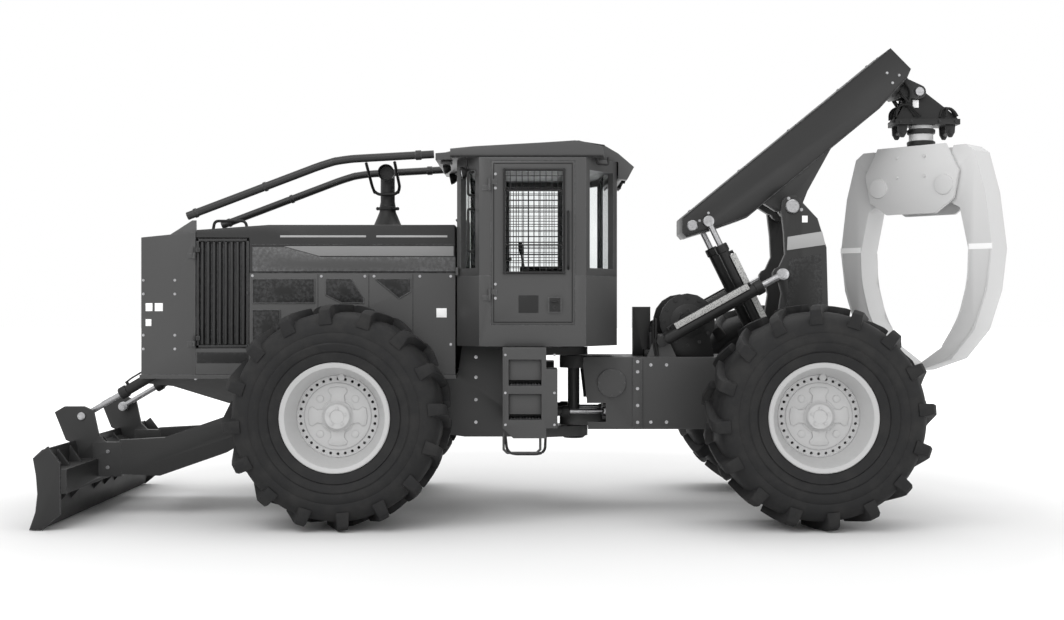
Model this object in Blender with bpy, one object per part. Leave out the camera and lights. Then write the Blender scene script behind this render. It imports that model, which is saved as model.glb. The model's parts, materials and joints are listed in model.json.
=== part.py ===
"""Articulated grapple skidder as separate named solids.

Metres, +Z up. The machine faces -X, its left side is -Y and its wheels stand on z = 0.
Outlines are written as (x, z) pairs in side view or (x, y) pairs in plan view.
"""
import math

import bmesh
import bpy
from mathutils import Matrix, Vector

# ---- driving dimensions -------------------------------------------------------------
PIN_SIDES = 20               # facets of pins, bosses and their holes
PIN_PLAY = 0.0002            # radial play of a pin in its hole
REST_GAP = 0.0003            # between pieces that rest on each other
PLATE = 0.03                 # general plate thickness

# wheels and axles
FRONT_AXLE_X = -1.598
REAR_AXLE_X = 2.361
TYRE_R = 0.925               # loaded radius, also the axle height
TYRE_W = 0.77
TRACK = 2.49                 # between wheel centre planes
RIM_R = 0.406                # bead seat
FLANGE_R = 0.44
TYRE_SIDES = 32
RIM_SIDES = 24
AXLE_TUBE_R = 0.13
AXLE_HUB_R = 0.17
HUB_CAP_R = 0.107
DISC_Y = 0.13                # outer face of the wheel disc from the wheel's centre plane
DISC_T = 0.03

# front frame and engine bay
HINGE_X = 0.385              # articulation axis
FRAME_HALF = 0.45
FRAME_FRONT_X = -3.43
DECK_Z = 1.235
CAB_FLOOR_Z = 1.489
BAY_HALF = 0.70              # half width of radiator housing and hood
HOUSING_X = (-3.414, -2.940)
HOUSING_TOP_Z = (2.434, 2.482)
GRILLE_Z = (1.310, 2.381)
GRILLE_HALF = 0.46
GRILLE_T = 0.042
HOOD_X = (-2.9397, -0.669)
HOOD_TOP_Z = (2.500, 2.545)
HOOD_SEAM_Z = 2.126
LOUVRE_X = (-2.936, -2.469)
LOUVRE_Z = (1.468, 2.426)
DOOR_PLAY = 0.003            # shut line round doors

# cab
CAB_HALF = 0.98
CAB_X = (-0.655, -0.45, 0.46, 0.75)      # front wall, front corner, rear corner, rear wall
CAB_FRONT_HALF = 0.70
CAB_REAR_HALF = 0.58
CAB_WALL = 0.05
BELT_Z = 2.093
CAB_TOP_Z = 3.105
DOOR_X = (-0.350, 0.367)
DOOR_Z = (1.672, 3.075)
WINDOW_X = (-0.224, 0.260)
WINDOW_Z = (2.129, 2.984)
GLASS_T = 0.006

# rear frame, winch, arch and boom
REAR_HALF = 0.45
REAR_TOP_Z = 1.38
REAR_LOW_Z = 0.737
REAR_END_X = 2.90
WINCH_AT = (1.40, 1.70)
WINCH_R = 0.25
WINCH_HALF = 0.30
ARCH_BASE = (2.36, 1.24)
ARCH_HALF = 0.36             # centre of each arch leg
ARCH_T = 0.07
BOOM_PIVOT = (2.333, 2.728)
BOOM_HALF = 0.25
ARCH_CYL_BASE = (1.156, 1.523)
ARCH_CYL_EYE = (2.228, 2.117)
BOOM_CYL_BASE = (2.10, 1.56)
BOOM_CYL_EYE = (1.59, 2.60)

# grapple, hung plumb below the boom tip
YOKE_PIN = (3.547, 3.800)
GRAPPLE_X = 3.60
HEAD_TOP_Z = 3.30
TONG_PIN_Z = 2.93
TONG_PIN_OUT = 0.33          # from the grapple's axis
TONG_TURN = math.radians(-45)  # plan angle of the plane the tongs open in

# blade
BLADE_HALF = 1.49
BLADE_PIVOT = (-2.15, 0.90)
BLADE_ARM_Y = 0.62
BLADE_CYL_BASE = (-3.05, 1.40)
BLADE_CYL_EYE = (-3.95, 0.87)

# fittings, pins and outlines
AXLE_CUT = 0.34              # half length of the axle's opening in the front frame
TRUNNION_R = 0.08
AXLE_PAD_Z = 1.12            # where the rear axle's pads meet the rear frame
BELLY = [(FRAME_FRONT_X, 1.144), (-3.2, 1.12), (-2.71, 0.97), (-0.6, 0.67), (0.12, 0.67)]
HINGE_PIN_R = 0.055
STEER_Z = 0.885
STEER_BASE = (-0.20, 0.33)    # barrel pin on the front frame, x and distance out
STEER_EYE = (0.665, 0.27)     # rod pin on the rear frame
STEER_EAR_Z = 0.045          # half gap between the ears that hold each steering barrel
RISER_Y = 0.66
RISER_R = 0.035
RISER_PATH = [(-3.0, 2.63), (-1.80, 3.085), (-1.66, 3.12), (-0.86, 3.165)]
CAB_ROOF_FRONT_X = -0.84
EXHAUST_X = -1.335
EXHAUST_Z = 3.058
ROOF_SECTION = [(CAB_ROOF_FRONT_X, CAB_TOP_Z + REST_GAP), (CAB_ROOF_FRONT_X, 3.17), (-0.62, 3.225),
                (0.38, 3.29),
                (0.64, 3.25), (0.76, 3.18), (0.90, 3.06), (0.84, 2.95), (0.76, 2.96), (0.76,
                                                                                       CAB_TOP_Z + REST_GAP)]
STEP_X = (-0.248, 0.216)
STEP_Y = 1.09
BORE_FOOT = 0.05             # from the barrel's pin to the bottom of its bore
EYE_HALF = 0.03
ARCH_CYL_Y = 0.50
BOOM_CYL_Y = 0.33
BLADE_CYL_Y = 0.56
BASE_PIN_R = 0.028
BLADE_CYL_PIN_R = 0.022
STEER_BARREL_R = 0.042
STEER_ROD_R = 0.022
BLADE_FACE = [(-4.065, 0.600), (-4.035, 0.45), (-4.022, 0.30), (-4.04, 0.15), (-4.095, 0.012)]
BLADE_BACK = [(-4.00, 0.012), (-3.955, 0.15), (-3.955, 0.30), (-3.965, 0.45), (-3.985, 0.60), (-4.0, 0.66)]
BLADE_PIN_R = 0.035
ARCH_PIN_R = 0.05
WINCH_SHAFT_R = 0.05
BOOM_PIN_R = 0.05
YOKE_PIN_R = 0.03
TONG_HALF = 0.145
TONG_PIN_R = 0.045
HEAD_HALF = 0.155


# ---- shapes -------------------------------------------------------------------------
def clear_scene():
    for old in list(bpy.data.objects):
        bpy.data.objects.remove(old, do_unlink=True)


def solid(verts, faces, name="piece"):
    """A mesh object with its faces turned outwards."""
    mesh = bpy.data.meshes.new(name)
    mesh.from_pydata([tuple(v) for v in verts], [], faces)
    bm = bmesh.new()
    bm.from_mesh(mesh)
    bmesh.ops.recalc_face_normals(bm, faces=bm.faces)
    bm.to_mesh(mesh)
    bm.free()
    obj = bpy.data.objects.new(name, mesh)
    bpy.context.scene.collection.objects.link(obj)
    return obj


def prism(outline, low, high, across="y"):
    """An outline extruded between two values of the axis that it lies across."""
    place = {"y": lambda a, b, c: (a, c, b), "z": lambda a, b, c: (a, b, c),
             "x": lambda a, b, c: (c, a, b)}[across]
    verts = [place(a, b, c) for c in (low, high) for a, b in outline]
    count = len(outline)
    sides = [(i, (i + 1) % count, count + (i + 1) % count, count + i) for i in range(count)]
    return solid(verts, sides + [tuple(range(count)), tuple(range(count, 2 * count))])


def box(x, y, z):
    """A block between pairs of X, Y and Z values."""
    return prism([(x[0], z[0]), (x[1], z[0]), (x[1], z[1]), (x[0], z[1])], y[0], y[1])


def frame_at(direction):
    """Two unit vectors square to a direction, kept level where they can be."""
    side = direction.cross(Vector((0, 0, 1)))
    if side.length < 0.01:
        side = Vector((1, 0, 0))
    side.normalize()
    return side, direction.cross(side).normalized()


def tube(path, radius, sides=10):
    """A round bar along a bent path; radius is one value or one for each point."""
    points = [Vector(p) for p in path]
    radii = radius if isinstance(radius, (list, tuple)) else [radius] * len(points)
    verts = []
    side = None
    for i, point in enumerate(points):
        ahead = (points[min(i + 1, len(points) - 1)] - point).normalized()
        behind = (point - points[max(i - 1, 0)]).normalized()
        along = (ahead + behind).normalized()
        if side is None:
            side, _ = frame_at(along)
        side = (side - along * side.dot(along)).normalized()
        up = along.cross(side)
        for k in range(sides):
            turn = 2 * math.pi * (k + 0.5) / sides
            verts.append(point + (side * math.cos(turn) + up * math.sin(turn)) * radii[i])
    faces = []
    for i in range(len(points) - 1):
        for k in range(sides):
            a, b = i * sides + k, i * sides + (k + 1) % sides
            faces.append((a, b, b + sides, a + sides))
    last = (len(points) - 1) * sides
    faces += [tuple(range(sides)), tuple(range(last, last + sides))]
    return solid(verts, faces)


def bar(start, end, radius, sides=PIN_SIDES):
    return tube([start, end], radius, sides)


def cross_bar(centre, y0, y1, radius, sides=PIN_SIDES):
    """A round bar along Y at a side-view point."""
    return bar((centre[0], y0, centre[1]), (centre[0], y1, centre[1]), radius, sides)


def turned(profile, centre, sides, outward=1):
    """A ring or disc turned about Y from (radius, offset) pairs; a radius of 0 is a pole."""
    x, y, z = centre
    verts, rings = [], []
    for radius, offset in profile:
        start = len(verts)
        count = sides if radius > 0 else 1
        for k in range(count):
            turn = 2 * math.pi * (k + 0.5) / sides
            verts.append((x + radius * math.sin(turn), y + outward * offset, z - radius * math.cos(turn)))
        rings.append((start, count))
    faces = []
    for i, (start, count) in enumerate(rings):
        after, after_count = rings[(i + 1) % len(rings)]
        for k in range(sides):
            face = [start + k % count, start + (k + 1) % count,
                    after + (k + 1) % after_count, after + k % after_count]
            corners = list(dict.fromkeys(face))
            if len(corners) > 2:
                faces.append(tuple(corners))
    return solid(verts, faces)


def arc(centre, radius, start, end, steps):
    """Points on a circle between two angles in degrees."""
    for i in range(steps + 1):
        turn = math.radians(start + (end - start) * i / steps)
        yield (centre[0] + radius * math.cos(turn), centre[1] + radius * math.sin(turn))


def joined(solids, cutters=()):
    """One closed solid: the union of some solids, less the cutters."""
    base = solids[0]
    for operation, tools in (("UNION", solids[1:]), ("DIFFERENCE", cutters)):
        for tool in tools:
            cut = base.modifiers.new(operation.title(), "BOOLEAN")
            cut.operation = operation
            cut.solver = "EXACT"
            cut.object = tool
    graph = bpy.context.evaluated_depsgraph_get()
    mesh = bpy.data.meshes.new_from_object(base.evaluated_get(graph))
    for obj in [*solids, *cutters]:
        bpy.data.objects.remove(obj, do_unlink=True)
    obj = bpy.data.objects.new("piece", mesh)
    bpy.context.scene.collection.objects.link(obj)
    return obj


def mirrored(obj):
    """A copy reflected to the other side of the machine's centre plane."""
    mesh = obj.data.copy()
    mesh.transform(Matrix.Scale(-1, 4, (0, 1, 0)))
    mesh.flip_normals()
    twin = bpy.data.objects.new("piece", mesh)
    bpy.context.scene.collection.objects.link(twin)
    return twin


def bore(pin_r, sides=PIN_SIDES):
    """Radius of a faceted hole whose flats clear a pin that turns in it."""
    return (pin_r + PIN_PLAY) / math.cos(math.pi / sides)


# ---- bodies: an empty stands on each joint's axis --------------------------------------
PIVOTS = {}


def pivot(name, at, parent=None):
    empty = bpy.data.objects.new(name + "_axis", None)
    bpy.context.scene.collection.objects.link(empty)
    base = PIVOTS[parent][1] if parent else Vector((0, 0, 0))
    empty.location = Vector(at) - base
    if parent:
        empty.parent = PIVOTS[parent][0]
    PIVOTS[name] = (empty, Vector(at))


PAINTS = {}


def paint(name, colour, roughness, metallic=0.0):
    mat = bpy.data.materials.new(name)
    mat.use_nodes = True
    shader = mat.node_tree.nodes["Principled BSDF"]
    shader.inputs["Base Color"].default_value = (*colour, 1.0)
    shader.inputs["Roughness"].default_value = roughness
    shader.inputs["Metallic"].default_value = metallic
    PAINTS[name] = mat


def place(obj, name, body, finish, smooth=False):
    """Name a finished solid, give it its paint and hang it on its body's axis."""
    empty, at = PIVOTS[body]
    obj.name = name
    obj.data.name = name
    obj.data.transform(Matrix.Translation(-at))
    obj.parent = empty
    obj.data.materials.clear()
    own = PAINTS[finish].copy()
    own.name = name + "_paint"
    obj.data.materials.append(own)
    if smooth:
        obj.data.shade_smooth()
        obj.data.set_sharp_from_angle(angle=math.radians(35))
    return obj


def both_sides(make, name, body, finish, smooth=False):
    """Left and right copies of a piece that is made for the left, the -Y side."""
    left = make()
    right = mirrored(left)
    for obj, side in ((left, "left"), (right, "right")):
        place(obj, f"{name}_{side}", body.format(side), finish, smooth)


def set_pivots():
    pivot("root", (0, 0, 0))
    for side, s in (("left", -1), ("right", 1)):
        pivot(f"cab_door_{side}", (DOOR_X[0] - 0.012, s * (CAB_HALF + 0.015), DOOR_Z[0]), "root")
        pivot(f"grille_door_{side}", (LOUVRE_X[0] - 0.012, s * (BAY_HALF + 0.015), LOUVRE_Z[0]), "root")
    pivot("front_grille", (HOUSING_X[0] - GRILLE_T, -GRILLE_HALF - 0.015, GRILLE_Z[0]), "root")
    pivot("blade", (BLADE_PIVOT[0], 0, BLADE_PIVOT[1]), "root")
    pivot("blade_cylinder_barrels", (BLADE_CYL_BASE[0], 0, BLADE_CYL_BASE[1]), "root")
    pivot("blade_cylinder_rods", (BLADE_CYL_EYE[0], 0, BLADE_CYL_EYE[1]), "blade_cylinder_barrels")
    pivot("rear_frame", (HINGE_X, 0, 0), "root")
    for side, s in (("left", -1), ("right", 1)):
        base, eye = steering_line(s)
        pivot(f"steering_barrel_{side}", base, "root")
        pivot(f"steering_rod_{side}", eye, f"steering_barrel_{side}")
        pivot(f"front_wheel_{side}", (FRONT_AXLE_X, s * TRACK / 2, TYRE_R), "root")
        pivot(f"rear_wheel_{side}", (REAR_AXLE_X, s * TRACK / 2, TYRE_R), "rear_frame")
    pivot("winch_drum", (WINCH_AT[0], 0, WINCH_AT[1]), "rear_frame")
    pivot("arch", (ARCH_BASE[0], 0, ARCH_BASE[1]), "rear_frame")
    pivot("arch_cylinder_barrels", (ARCH_CYL_BASE[0], 0, ARCH_CYL_BASE[1]), "rear_frame")
    pivot("arch_cylinder_rods", (ARCH_CYL_EYE[0], 0, ARCH_CYL_EYE[1]), "arch_cylinder_barrels")
    pivot("boom", (BOOM_PIVOT[0], 0, BOOM_PIVOT[1]), "arch")
    pivot("boom_cylinder_barrels", (BOOM_CYL_BASE[0], 0, BOOM_CYL_BASE[1]), "arch")
    pivot("boom_cylinder_rods", (BOOM_CYL_EYE[0], 0, BOOM_CYL_EYE[1]), "boom_cylinder_barrels")
    pivot("grapple_yoke", (YOKE_PIN[0], 0, YOKE_PIN[1]), "boom")
    pivot("grapple_head", (GRAPPLE_X, 0, HEAD_TOP_Z), "grapple_yoke")
    for side, s in (("near", 1), ("far", -1)):
        pivot(f"tong_{side}", tong_point(s * TONG_PIN_OUT, 0, TONG_PIN_Z), "grapple_head")


def set_paints():
    paint("body_grey", (0.11, 0.11, 0.11), 0.45)
    paint("dark_grey", (0.045, 0.045, 0.045), 0.5)
    paint("silver", (0.6, 0.6, 0.6), 0.4)
    paint("bare_metal", (0.35, 0.35, 0.35), 0.35, 0.9)
    paint("grapple_grey", (0.62, 0.62, 0.62), 0.45)
    paint("tyre_black", (0.03, 0.03, 0.03), 0.85)
    paint("glass_clear", (0.75, 0.78, 0.8), 0.05)
    paint("cushion_black", (0.03, 0.03, 0.03), 0.8)


# ---- wheels and axles --------------------------------------------------------------
def make_tyre(centre, outward):
    half = TYRE_W / 2
    crown = TYRE_R / math.cos(math.pi / TYRE_SIDES)
    bead_y = 0.815 * half
    profile = [(RIM_R + 0.004, bead_y), (FLANGE_R + 0.01, bead_y), (0.55, 0.98 * half), (0.76, half),
               (crown - 0.04, 0.88 * half), (crown, 0.70 * half)]
    profile += [(r, -y) for r, y in reversed(profile)]
    return turned(profile, centre, TYRE_SIDES, outward)


def make_rim(centre, outward):
    bead_y = 0.815 * TYRE_W / 2 + 0.0004
    lip_y = bead_y + 0.022
    seat_r = RIM_R + 0.0005
    inner_r = RIM_R - 0.022
    profile = [(0, DISC_Y + 0.07), (HUB_CAP_R, DISC_Y + 0.06),
               (HUB_CAP_R, DISC_Y), (inner_r - 0.03, DISC_Y),
               (inner_r, lip_y), (FLANGE_R, lip_y), (FLANGE_R, bead_y), (seat_r, bead_y),
               (seat_r, -bead_y), (FLANGE_R, -bead_y), (FLANGE_R, -lip_y), (inner_r, -lip_y),
               (inner_r, DISC_Y - DISC_T), (0, DISC_Y - DISC_T)]
    return turned(profile, centre, RIM_SIDES, outward)


def add_wheels():
    for end, x in (("front", FRONT_AXLE_X), ("rear", REAR_AXLE_X)):
        for side, s in (("left", -1), ("right", 1)):
            centre = (x, s * TRACK / 2, TYRE_R)
            body = f"{end}_wheel_{side}"
            place(make_tyre(centre, s), f"{end}_tyre_{side}", body, "tyre_black", True)
            place(make_rim(centre, s), f"{end}_rim_{side}", body, "silver", True)


def make_axle(x, pads):
    """Axle housing: centre case, tapered tubes and hub ends that meet the wheel discs."""
    face = TRACK / 2 + DISC_Y - DISC_T - REST_GAP
    stations = [(0.25, 0.0), (0.24, 0.15), (AXLE_TUBE_R, 0.34),
                (AXLE_TUBE_R, 0.80), (AXLE_HUB_R, 0.84), (AXLE_HUB_R, face)]
    profile = [(0, -face)] + [(r, -y) for r, y in reversed(stations)] + stations[1:] + [(0, face)]
    housing = turned(profile, (x, 0, TYRE_R), 16)
    return joined([housing, *pads])


def add_axles():
    trunnion = bar((FRONT_AXLE_X - AXLE_CUT - 0.05, 0, TYRE_R), (FRONT_AXLE_X + AXLE_CUT + 0.05, 0, TYRE_R),
                   TRUNNION_R)
    place(make_axle(FRONT_AXLE_X, [trunnion]), "front_axle", "root", "dark_grey", True)
    pads = [box((REAR_AXLE_X - 0.15, REAR_AXLE_X + 0.15), (s * 0.52 - 0.09, s * 0.52 + 0.09),
                (TYRE_R + 0.05, AXLE_PAD_Z - REST_GAP)) for s in (-1, 1)]
    place(make_axle(REAR_AXLE_X, pads), "rear_axle", "rear_frame", "dark_grey", True)


# ---- front frame and engine bay -----------------------------------------------------


def make_front_frame():
    """A trough of side plates and belly plate, a deck, cross plates and the hinge ears."""
    wall = 0.04
    top = [(0.12, CAB_FLOOR_Z), (-0.62, CAB_FLOOR_Z), (-0.66, DECK_Z), (FRAME_FRONT_X, DECK_Z)]
    trough = prism(BELLY + top, -FRAME_HALF, FRAME_HALF)
    inner = [(x, z + wall) for x, z in BELLY[1:-1]] + [(0.08, 0.67 + wall)]
    inner += [(0.08, CAB_FLOOR_Z + 1), (BELLY[1][0], CAB_FLOOR_Z + 1)]
    bay = prism(inner, -FRAME_HALF + wall, FRAME_HALF - wall)
    hollow = joined([trough], [bay])
    axle_at = (FRONT_AXLE_X - AXLE_CUT, FRONT_AXLE_X + AXLE_CUT)
    opening = box(axle_at, (-1, 1), (0.3, 1.17))
    deck = [box((FRAME_FRONT_X, -0.665), (s * 0.555 - 0.145, s * 0.555 + 0.145),
                (DECK_Z - 0.035, DECK_Z - 0.001))
            for s in (-1, 1)]
    hollow = joined([hollow, *deck], [opening])
    plates = []
    for x, out in ((axle_at[0], -1), (axle_at[1], 1)):
        floor = 0.86 if out < 0 else 0.745
        plates.append(box(sorted((x + out * 0.002, x + out * 0.06)), (-0.43, 0.43), (floor, 1.19)))
    ears = []
    for z0, z1, x0 in ((0.645, 0.738, 0.0), (1.39, 1.46, 0.02)):
        outline = [(x0, -0.30), (x0, 0.30)] + list(arc((HINGE_X, 0), 0.13, 80, -80, 8))
        ears.append(prism(outline, z0, z1, "z"))
    floor_bar = box((-0.61, 0.11), (-0.44, 0.44), (CAB_FLOOR_Z - 0.04, CAB_FLOOR_Z - 0.001))
    windows = [box((0.0, 0.2), sorted((s * 0.12, s * 0.43)), (STEER_Z - 0.08, STEER_Z + 0.08))
               for s in (-1, 1)]
    pins = [bar((x, 0, TYRE_R), (x + 0.3, 0, TYRE_R), TRUNNION_R + REST_GAP)
            for x in (axle_at[0] - 0.15, axle_at[1] - 0.15)]
    hinge_holes = [bar((HINGE_X, 0, 0.5), (HINGE_X, 0, 1.7), bore(HINGE_PIN_R))]
    notches = [box((-3.6, -2.95), (s * BLADE_CYL_Y - 0.06, s * BLADE_CYL_Y + 0.06), (1.0, 1.3))
               for s in (-1, 1)]
    return joined([hollow, *plates, *ears, floor_bar, *steering_ears(), *blade_pins()],
                  [*pins, *hinge_holes, *windows, *notches])


def steering_line(s):
    return (STEER_BASE[0], s * STEER_BASE[1], STEER_Z), (STEER_EYE[0], s * STEER_EYE[1], STEER_Z)


def steering_ears():
    ears = []
    for s in (-1, 1):
        for z0 in (STEER_Z - STEER_EAR_Z - 0.03, STEER_Z + STEER_EAR_Z):
            ears.append(box((STEER_BASE[0] - 0.05, STEER_BASE[0] + 0.04), sorted((s * 0.27, s * 0.43)),
                            (z0, z0 + 0.03)))
    return ears


def make_housing():
    """Radiator housing: a box frame open to the front and the back, with riser gussets."""
    x0, x1 = HOUSING_X
    outline = [(x0, DECK_Z + REST_GAP), (x1, DECK_Z + REST_GAP), (x1, HOUSING_TOP_Z[1]),
               (x0, HOUSING_TOP_Z[0])]
    shell = prism(outline, -BAY_HALF, BAY_HALF)
    wall = 0.06
    tunnel = box((x0 - 0.1, x1 + 0.1), (-GRILLE_HALF, GRILLE_HALF),
                 (DECK_Z + 0.075, HOUSING_TOP_Z[0] - wall))
    slots = [box((x0 - 0.1, x1 - 0.04), (s * BLADE_CYL_Y - 0.06, s * BLADE_CYL_Y + 0.06),
                 (1.0, BLADE_CYL_BASE[1] + 0.09))
             for s in (-1, 1)]
    pin_hole = cross_bar(BLADE_CYL_BASE, -0.55, 0.55, BLADE_CYL_PIN_R + REST_GAP)
    gussets = [prism([(-3.2, 2.44), (x1 - 0.002, 2.44), (x1 - 0.002, 2.585), (-2.975, 2.585)],
                     s * RISER_Y - 0.012, s * RISER_Y + 0.012) for s in (-1, 1)]
    knuckles = []
    for z in (1.53, 2.30):
        knuckles += [hinge_half(LOUVRE_X[0] - 0.012, s, BAY_HALF, z - 0.05, -1) for s in (-1, 1)]
    for z in (1.45, 2.15):
        pin = bar((x0 - GRILLE_T, -GRILLE_HALF - 0.015, z - 0.05),
                  (x0 - GRILLE_T, -GRILLE_HALF - 0.015, z), 0.014, 10)
        leaf = box((x0 - GRILLE_T, x0 + 0.02), (-GRILLE_HALF - 0.024, -GRILLE_HALF - 0.008),
                   (z - 0.048, z - 0.002))
        knuckles += [pin, leaf]
    return joined([shell, *gussets, *knuckles], [tunnel, *slots, pin_hole])


def hinge_half(x, s, half, z, ahead):
    """One knuckle of a door hinge with its leaf, ahead of (-1) or behind (+1) the hinge line."""
    knuckle = bar((x, s * (half + 0.015), z), (x, s * (half + 0.015), z + 0.05 - REST_GAP), 0.014, 10)
    leaf_y = sorted((s * (half - 0.004), s * (half + 0.011)))
    leaf = box(sorted((x + ahead * 0.018, x + ahead * 0.06)), leaf_y, (z + 0.002, z + 0.046))
    link_y = sorted((s * (half + 0.003), s * (half + 0.0105)))
    link = box(sorted((x, x + ahead * 0.03)), link_y, (z + 0.004, z + 0.044))
    return joined([knuckle, leaf, link])


def add_front():
    place(make_front_frame(), "front_frame", "root", "body_grey")
    place(make_housing(), "radiator_housing", "root", "body_grey")
    grille_x = (HOUSING_X[0] - GRILLE_T - REST_GAP, HOUSING_X[0] - REST_GAP)
    grille = box(grille_x, (-GRILLE_HALF, GRILLE_HALF), GRILLE_Z)
    line = (HOUSING_X[0] - GRILLE_T, -GRILLE_HALF - 0.015)
    knuckles = []
    for z in (1.45, 2.15):
        knuckles.append(bar((*line, z + REST_GAP), (*line, z + 0.05), 0.014, 10))
        knuckles.append(box((line[0] - 0.006, line[0] + 0.02), (line[1], line[1] + 0.03),
                            (z + 0.003, z + 0.047)))
    place(joined([grille, *knuckles]), "front_grille", "front_grille", "dark_grey")
    engine_z = 1.19 + REST_GAP
    block = box((-2.55, -1.20), (-0.31, 0.31), (engine_z, 1.98))
    sump = box((-2.05, -1.30), (-0.22, 0.22), (engine_z + 0.1, 2.15))
    place(joined([block, sump]), "engine_block", "root", "dark_grey")
    place(make_hood(), "hood", "root", "dark_grey")
    both_sides(make_side_panel, "side_panel", "root", "body_grey")
    both_sides(make_grille_door, "grille_door", "grille_door_{}", "dark_grey")
    both_sides(make_riser, "limb_riser", "root", "dark_grey", True)
    place(make_exhaust(), "exhaust_stack", "root", "bare_metal", True)


def make_hood():
    """Folded cover over the engine bay, stepped up over the louvre doors."""
    x0, x1 = HOOD_X
    wall = 0.03
    step_x = LOUVRE_X[1] - DOOR_PLAY
    low = LOUVRE_Z[1] + DOOR_PLAY
    outline = [(x0, low), (step_x, low), (step_x, HOOD_SEAM_Z), (x1, HOOD_SEAM_Z), (x1, HOOD_TOP_Z[1]),
               (-2.30, HOOD_TOP_Z[1]), (x0, HOOD_TOP_Z[0])]
    skin = prism(outline, -BAY_HALF, BAY_HALF)
    inner = box((x0 - 0.1, x1 - wall), (wall - BAY_HALF, BAY_HALF - wall), (1.9, HOOD_TOP_Z[0] - wall))
    return joined([skin], [inner])


def make_side_panel():
    low = DECK_Z + REST_GAP
    outline = [(LOUVRE_X[1], low), (HOOD_X[1], low), (HOOD_X[1], HOOD_SEAM_Z - REST_GAP),
               (LOUVRE_X[1], HOOD_SEAM_Z - REST_GAP)]
    sill = box((HOUSING_X[1] + REST_GAP, LOUVRE_X[1] + 0.01), (-BAY_HALF, -BAY_HALF + PLATE),
               (low, LOUVRE_Z[0] - DOOR_PLAY))
    panel = prism(outline, -BAY_HALF, -BAY_HALF + PLATE)
    return joined([panel, sill])


def make_grille_door():
    x = (LOUVRE_X[0] + DOOR_PLAY, LOUVRE_X[1] - DOOR_PLAY)
    z = (LOUVRE_Z[0] + DOOR_PLAY, LOUVRE_Z[1] - DOOR_PLAY)
    leaf = box(x, (-BAY_HALF, -BAY_HALF + 0.04), z)
    knuckles = [hinge_half(LOUVRE_X[0] - 0.012, -1, BAY_HALF, h, 1) for h in (1.53, 2.30)]
    return joined([leaf, *knuckles])


def make_riser():
    """Bent tube that lifts branches over the hood, from the gusset to the roof."""
    path = [(x, -RISER_Y, z) for x, z in RISER_PATH]
    foot = box((-3.10, -2.95), (-RISER_Y - 0.03, -RISER_Y + 0.03), (2.585 + REST_GAP, 2.615))
    pad = box((-0.875, CAB_ROOF_FRONT_X - REST_GAP), (-RISER_Y - 0.045, -RISER_Y + 0.045), (3.125, 3.175))
    return joined([tube(path, RISER_R, 12), foot, pad])


def make_exhaust():
    top = HOOD_TOP_Z[1] + REST_GAP
    base = tube([(EXHAUST_X, 0, top), (EXHAUST_X, 0, top + 0.02), (EXHAUST_X, 0, top + 0.14)],
                [0.15, 0.15, 0.075], 20)
    bend = [(EXHAUST_X, -0.10 * (1 - math.cos(t)), EXHAUST_Z - 0.10 + 0.10 * math.sin(t))
            for t in (0, 0.4, 0.8, 1.2, math.pi / 2)]
    pipe = tube([(EXHAUST_X, 0, top + 0.10), (EXHAUST_X, 0, EXHAUST_Z - 0.14), *bend,
                 (EXHAUST_X, -0.17, EXHAUST_Z)], 0.065, 20)
    mouth = bar((EXHAUST_X, -0.11, EXHAUST_Z), (EXHAUST_X, -0.3, EXHAUST_Z), 0.055, 20)
    return joined([base, pipe], [mouth])


# ---- cab ----------------------------------------------------------------------------
def cab_plan(inset=0.0):
    x0, x1, x2, x3 = CAB_X
    half = [(x0 + inset, CAB_FRONT_HALF - 0.6 * inset), (x1 + 0.4 * inset, CAB_HALF - inset),
            (x2 - 0.4 * inset, CAB_HALF - inset), (x3 - inset, CAB_REAR_HALF - 0.6 * inset)]
    return [(x, -y) for x, y in half] + [(x, y) for x, y in reversed(half)]


def door_cutters():
    return [box(DOOR_X, sorted((s * (CAB_HALF - 0.2), s * (CAB_HALF + 0.2))), DOOR_Z) for s in (-1, 1)]


def make_cab_tub():
    base = CAB_FLOOR_Z + REST_GAP
    outer = prism(cab_plan(), base, BELT_Z, "z")
    inner = prism(cab_plan(CAB_WALL), base + 0.05, BELT_Z + 1, "z")
    low_hinges = [hinge_half(DOOR_X[0] - 0.012, s, CAB_HALF, 1.88, -1) for s in (-1, 1)]
    return joined([outer, *low_hinges], [inner, *door_cutters()])


def make_cab_frame():
    """Posts and top rail above the belt, with the windows cut."""
    base = BELT_Z + REST_GAP
    outer = prism(cab_plan(), base, CAB_TOP_Z, "z")
    inner = prism(cab_plan(CAB_WALL), base - 1, CAB_TOP_Z - 0.05, "z")
    high_hinges = [hinge_half(DOOR_X[0] - 0.012, s, CAB_HALF, 2.82, -1) for s in (-1, 1)]
    front = box((CAB_X[0] - 0.1, CAB_X[0] + 0.1), (-0.62, 0.62), (2.60, 3.0))
    rear = box((CAB_X[3] - 0.1, CAB_X[3] + 0.1), (-0.50, 0.50), (2.16, 3.0))
    corners = []
    for s in (-1, 1):
        for (xa, ya), (xb, yb) in (((CAB_X[0], CAB_FRONT_HALF), (CAB_X[1], CAB_HALF)),
                                   ((CAB_X[3], CAB_REAR_HALF), (CAB_X[2], CAB_HALF))):
            a, b = Vector((xa, s * ya)), Vector((xb, s * yb))
            along = (b - a).normalized()
            out = Vector((along.y, -along.x))
            a2, b2 = a + along * 0.06, b - along * 0.06
            corners.append(prism([a2 - out * 0.12, b2 - out * 0.12, b2 + out * 0.12, a2 + out * 0.12],
                                 2.16, 3.0, "z"))
    return joined([outer, *high_hinges], [inner, *door_cutters(), front, rear, *corners])


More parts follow.
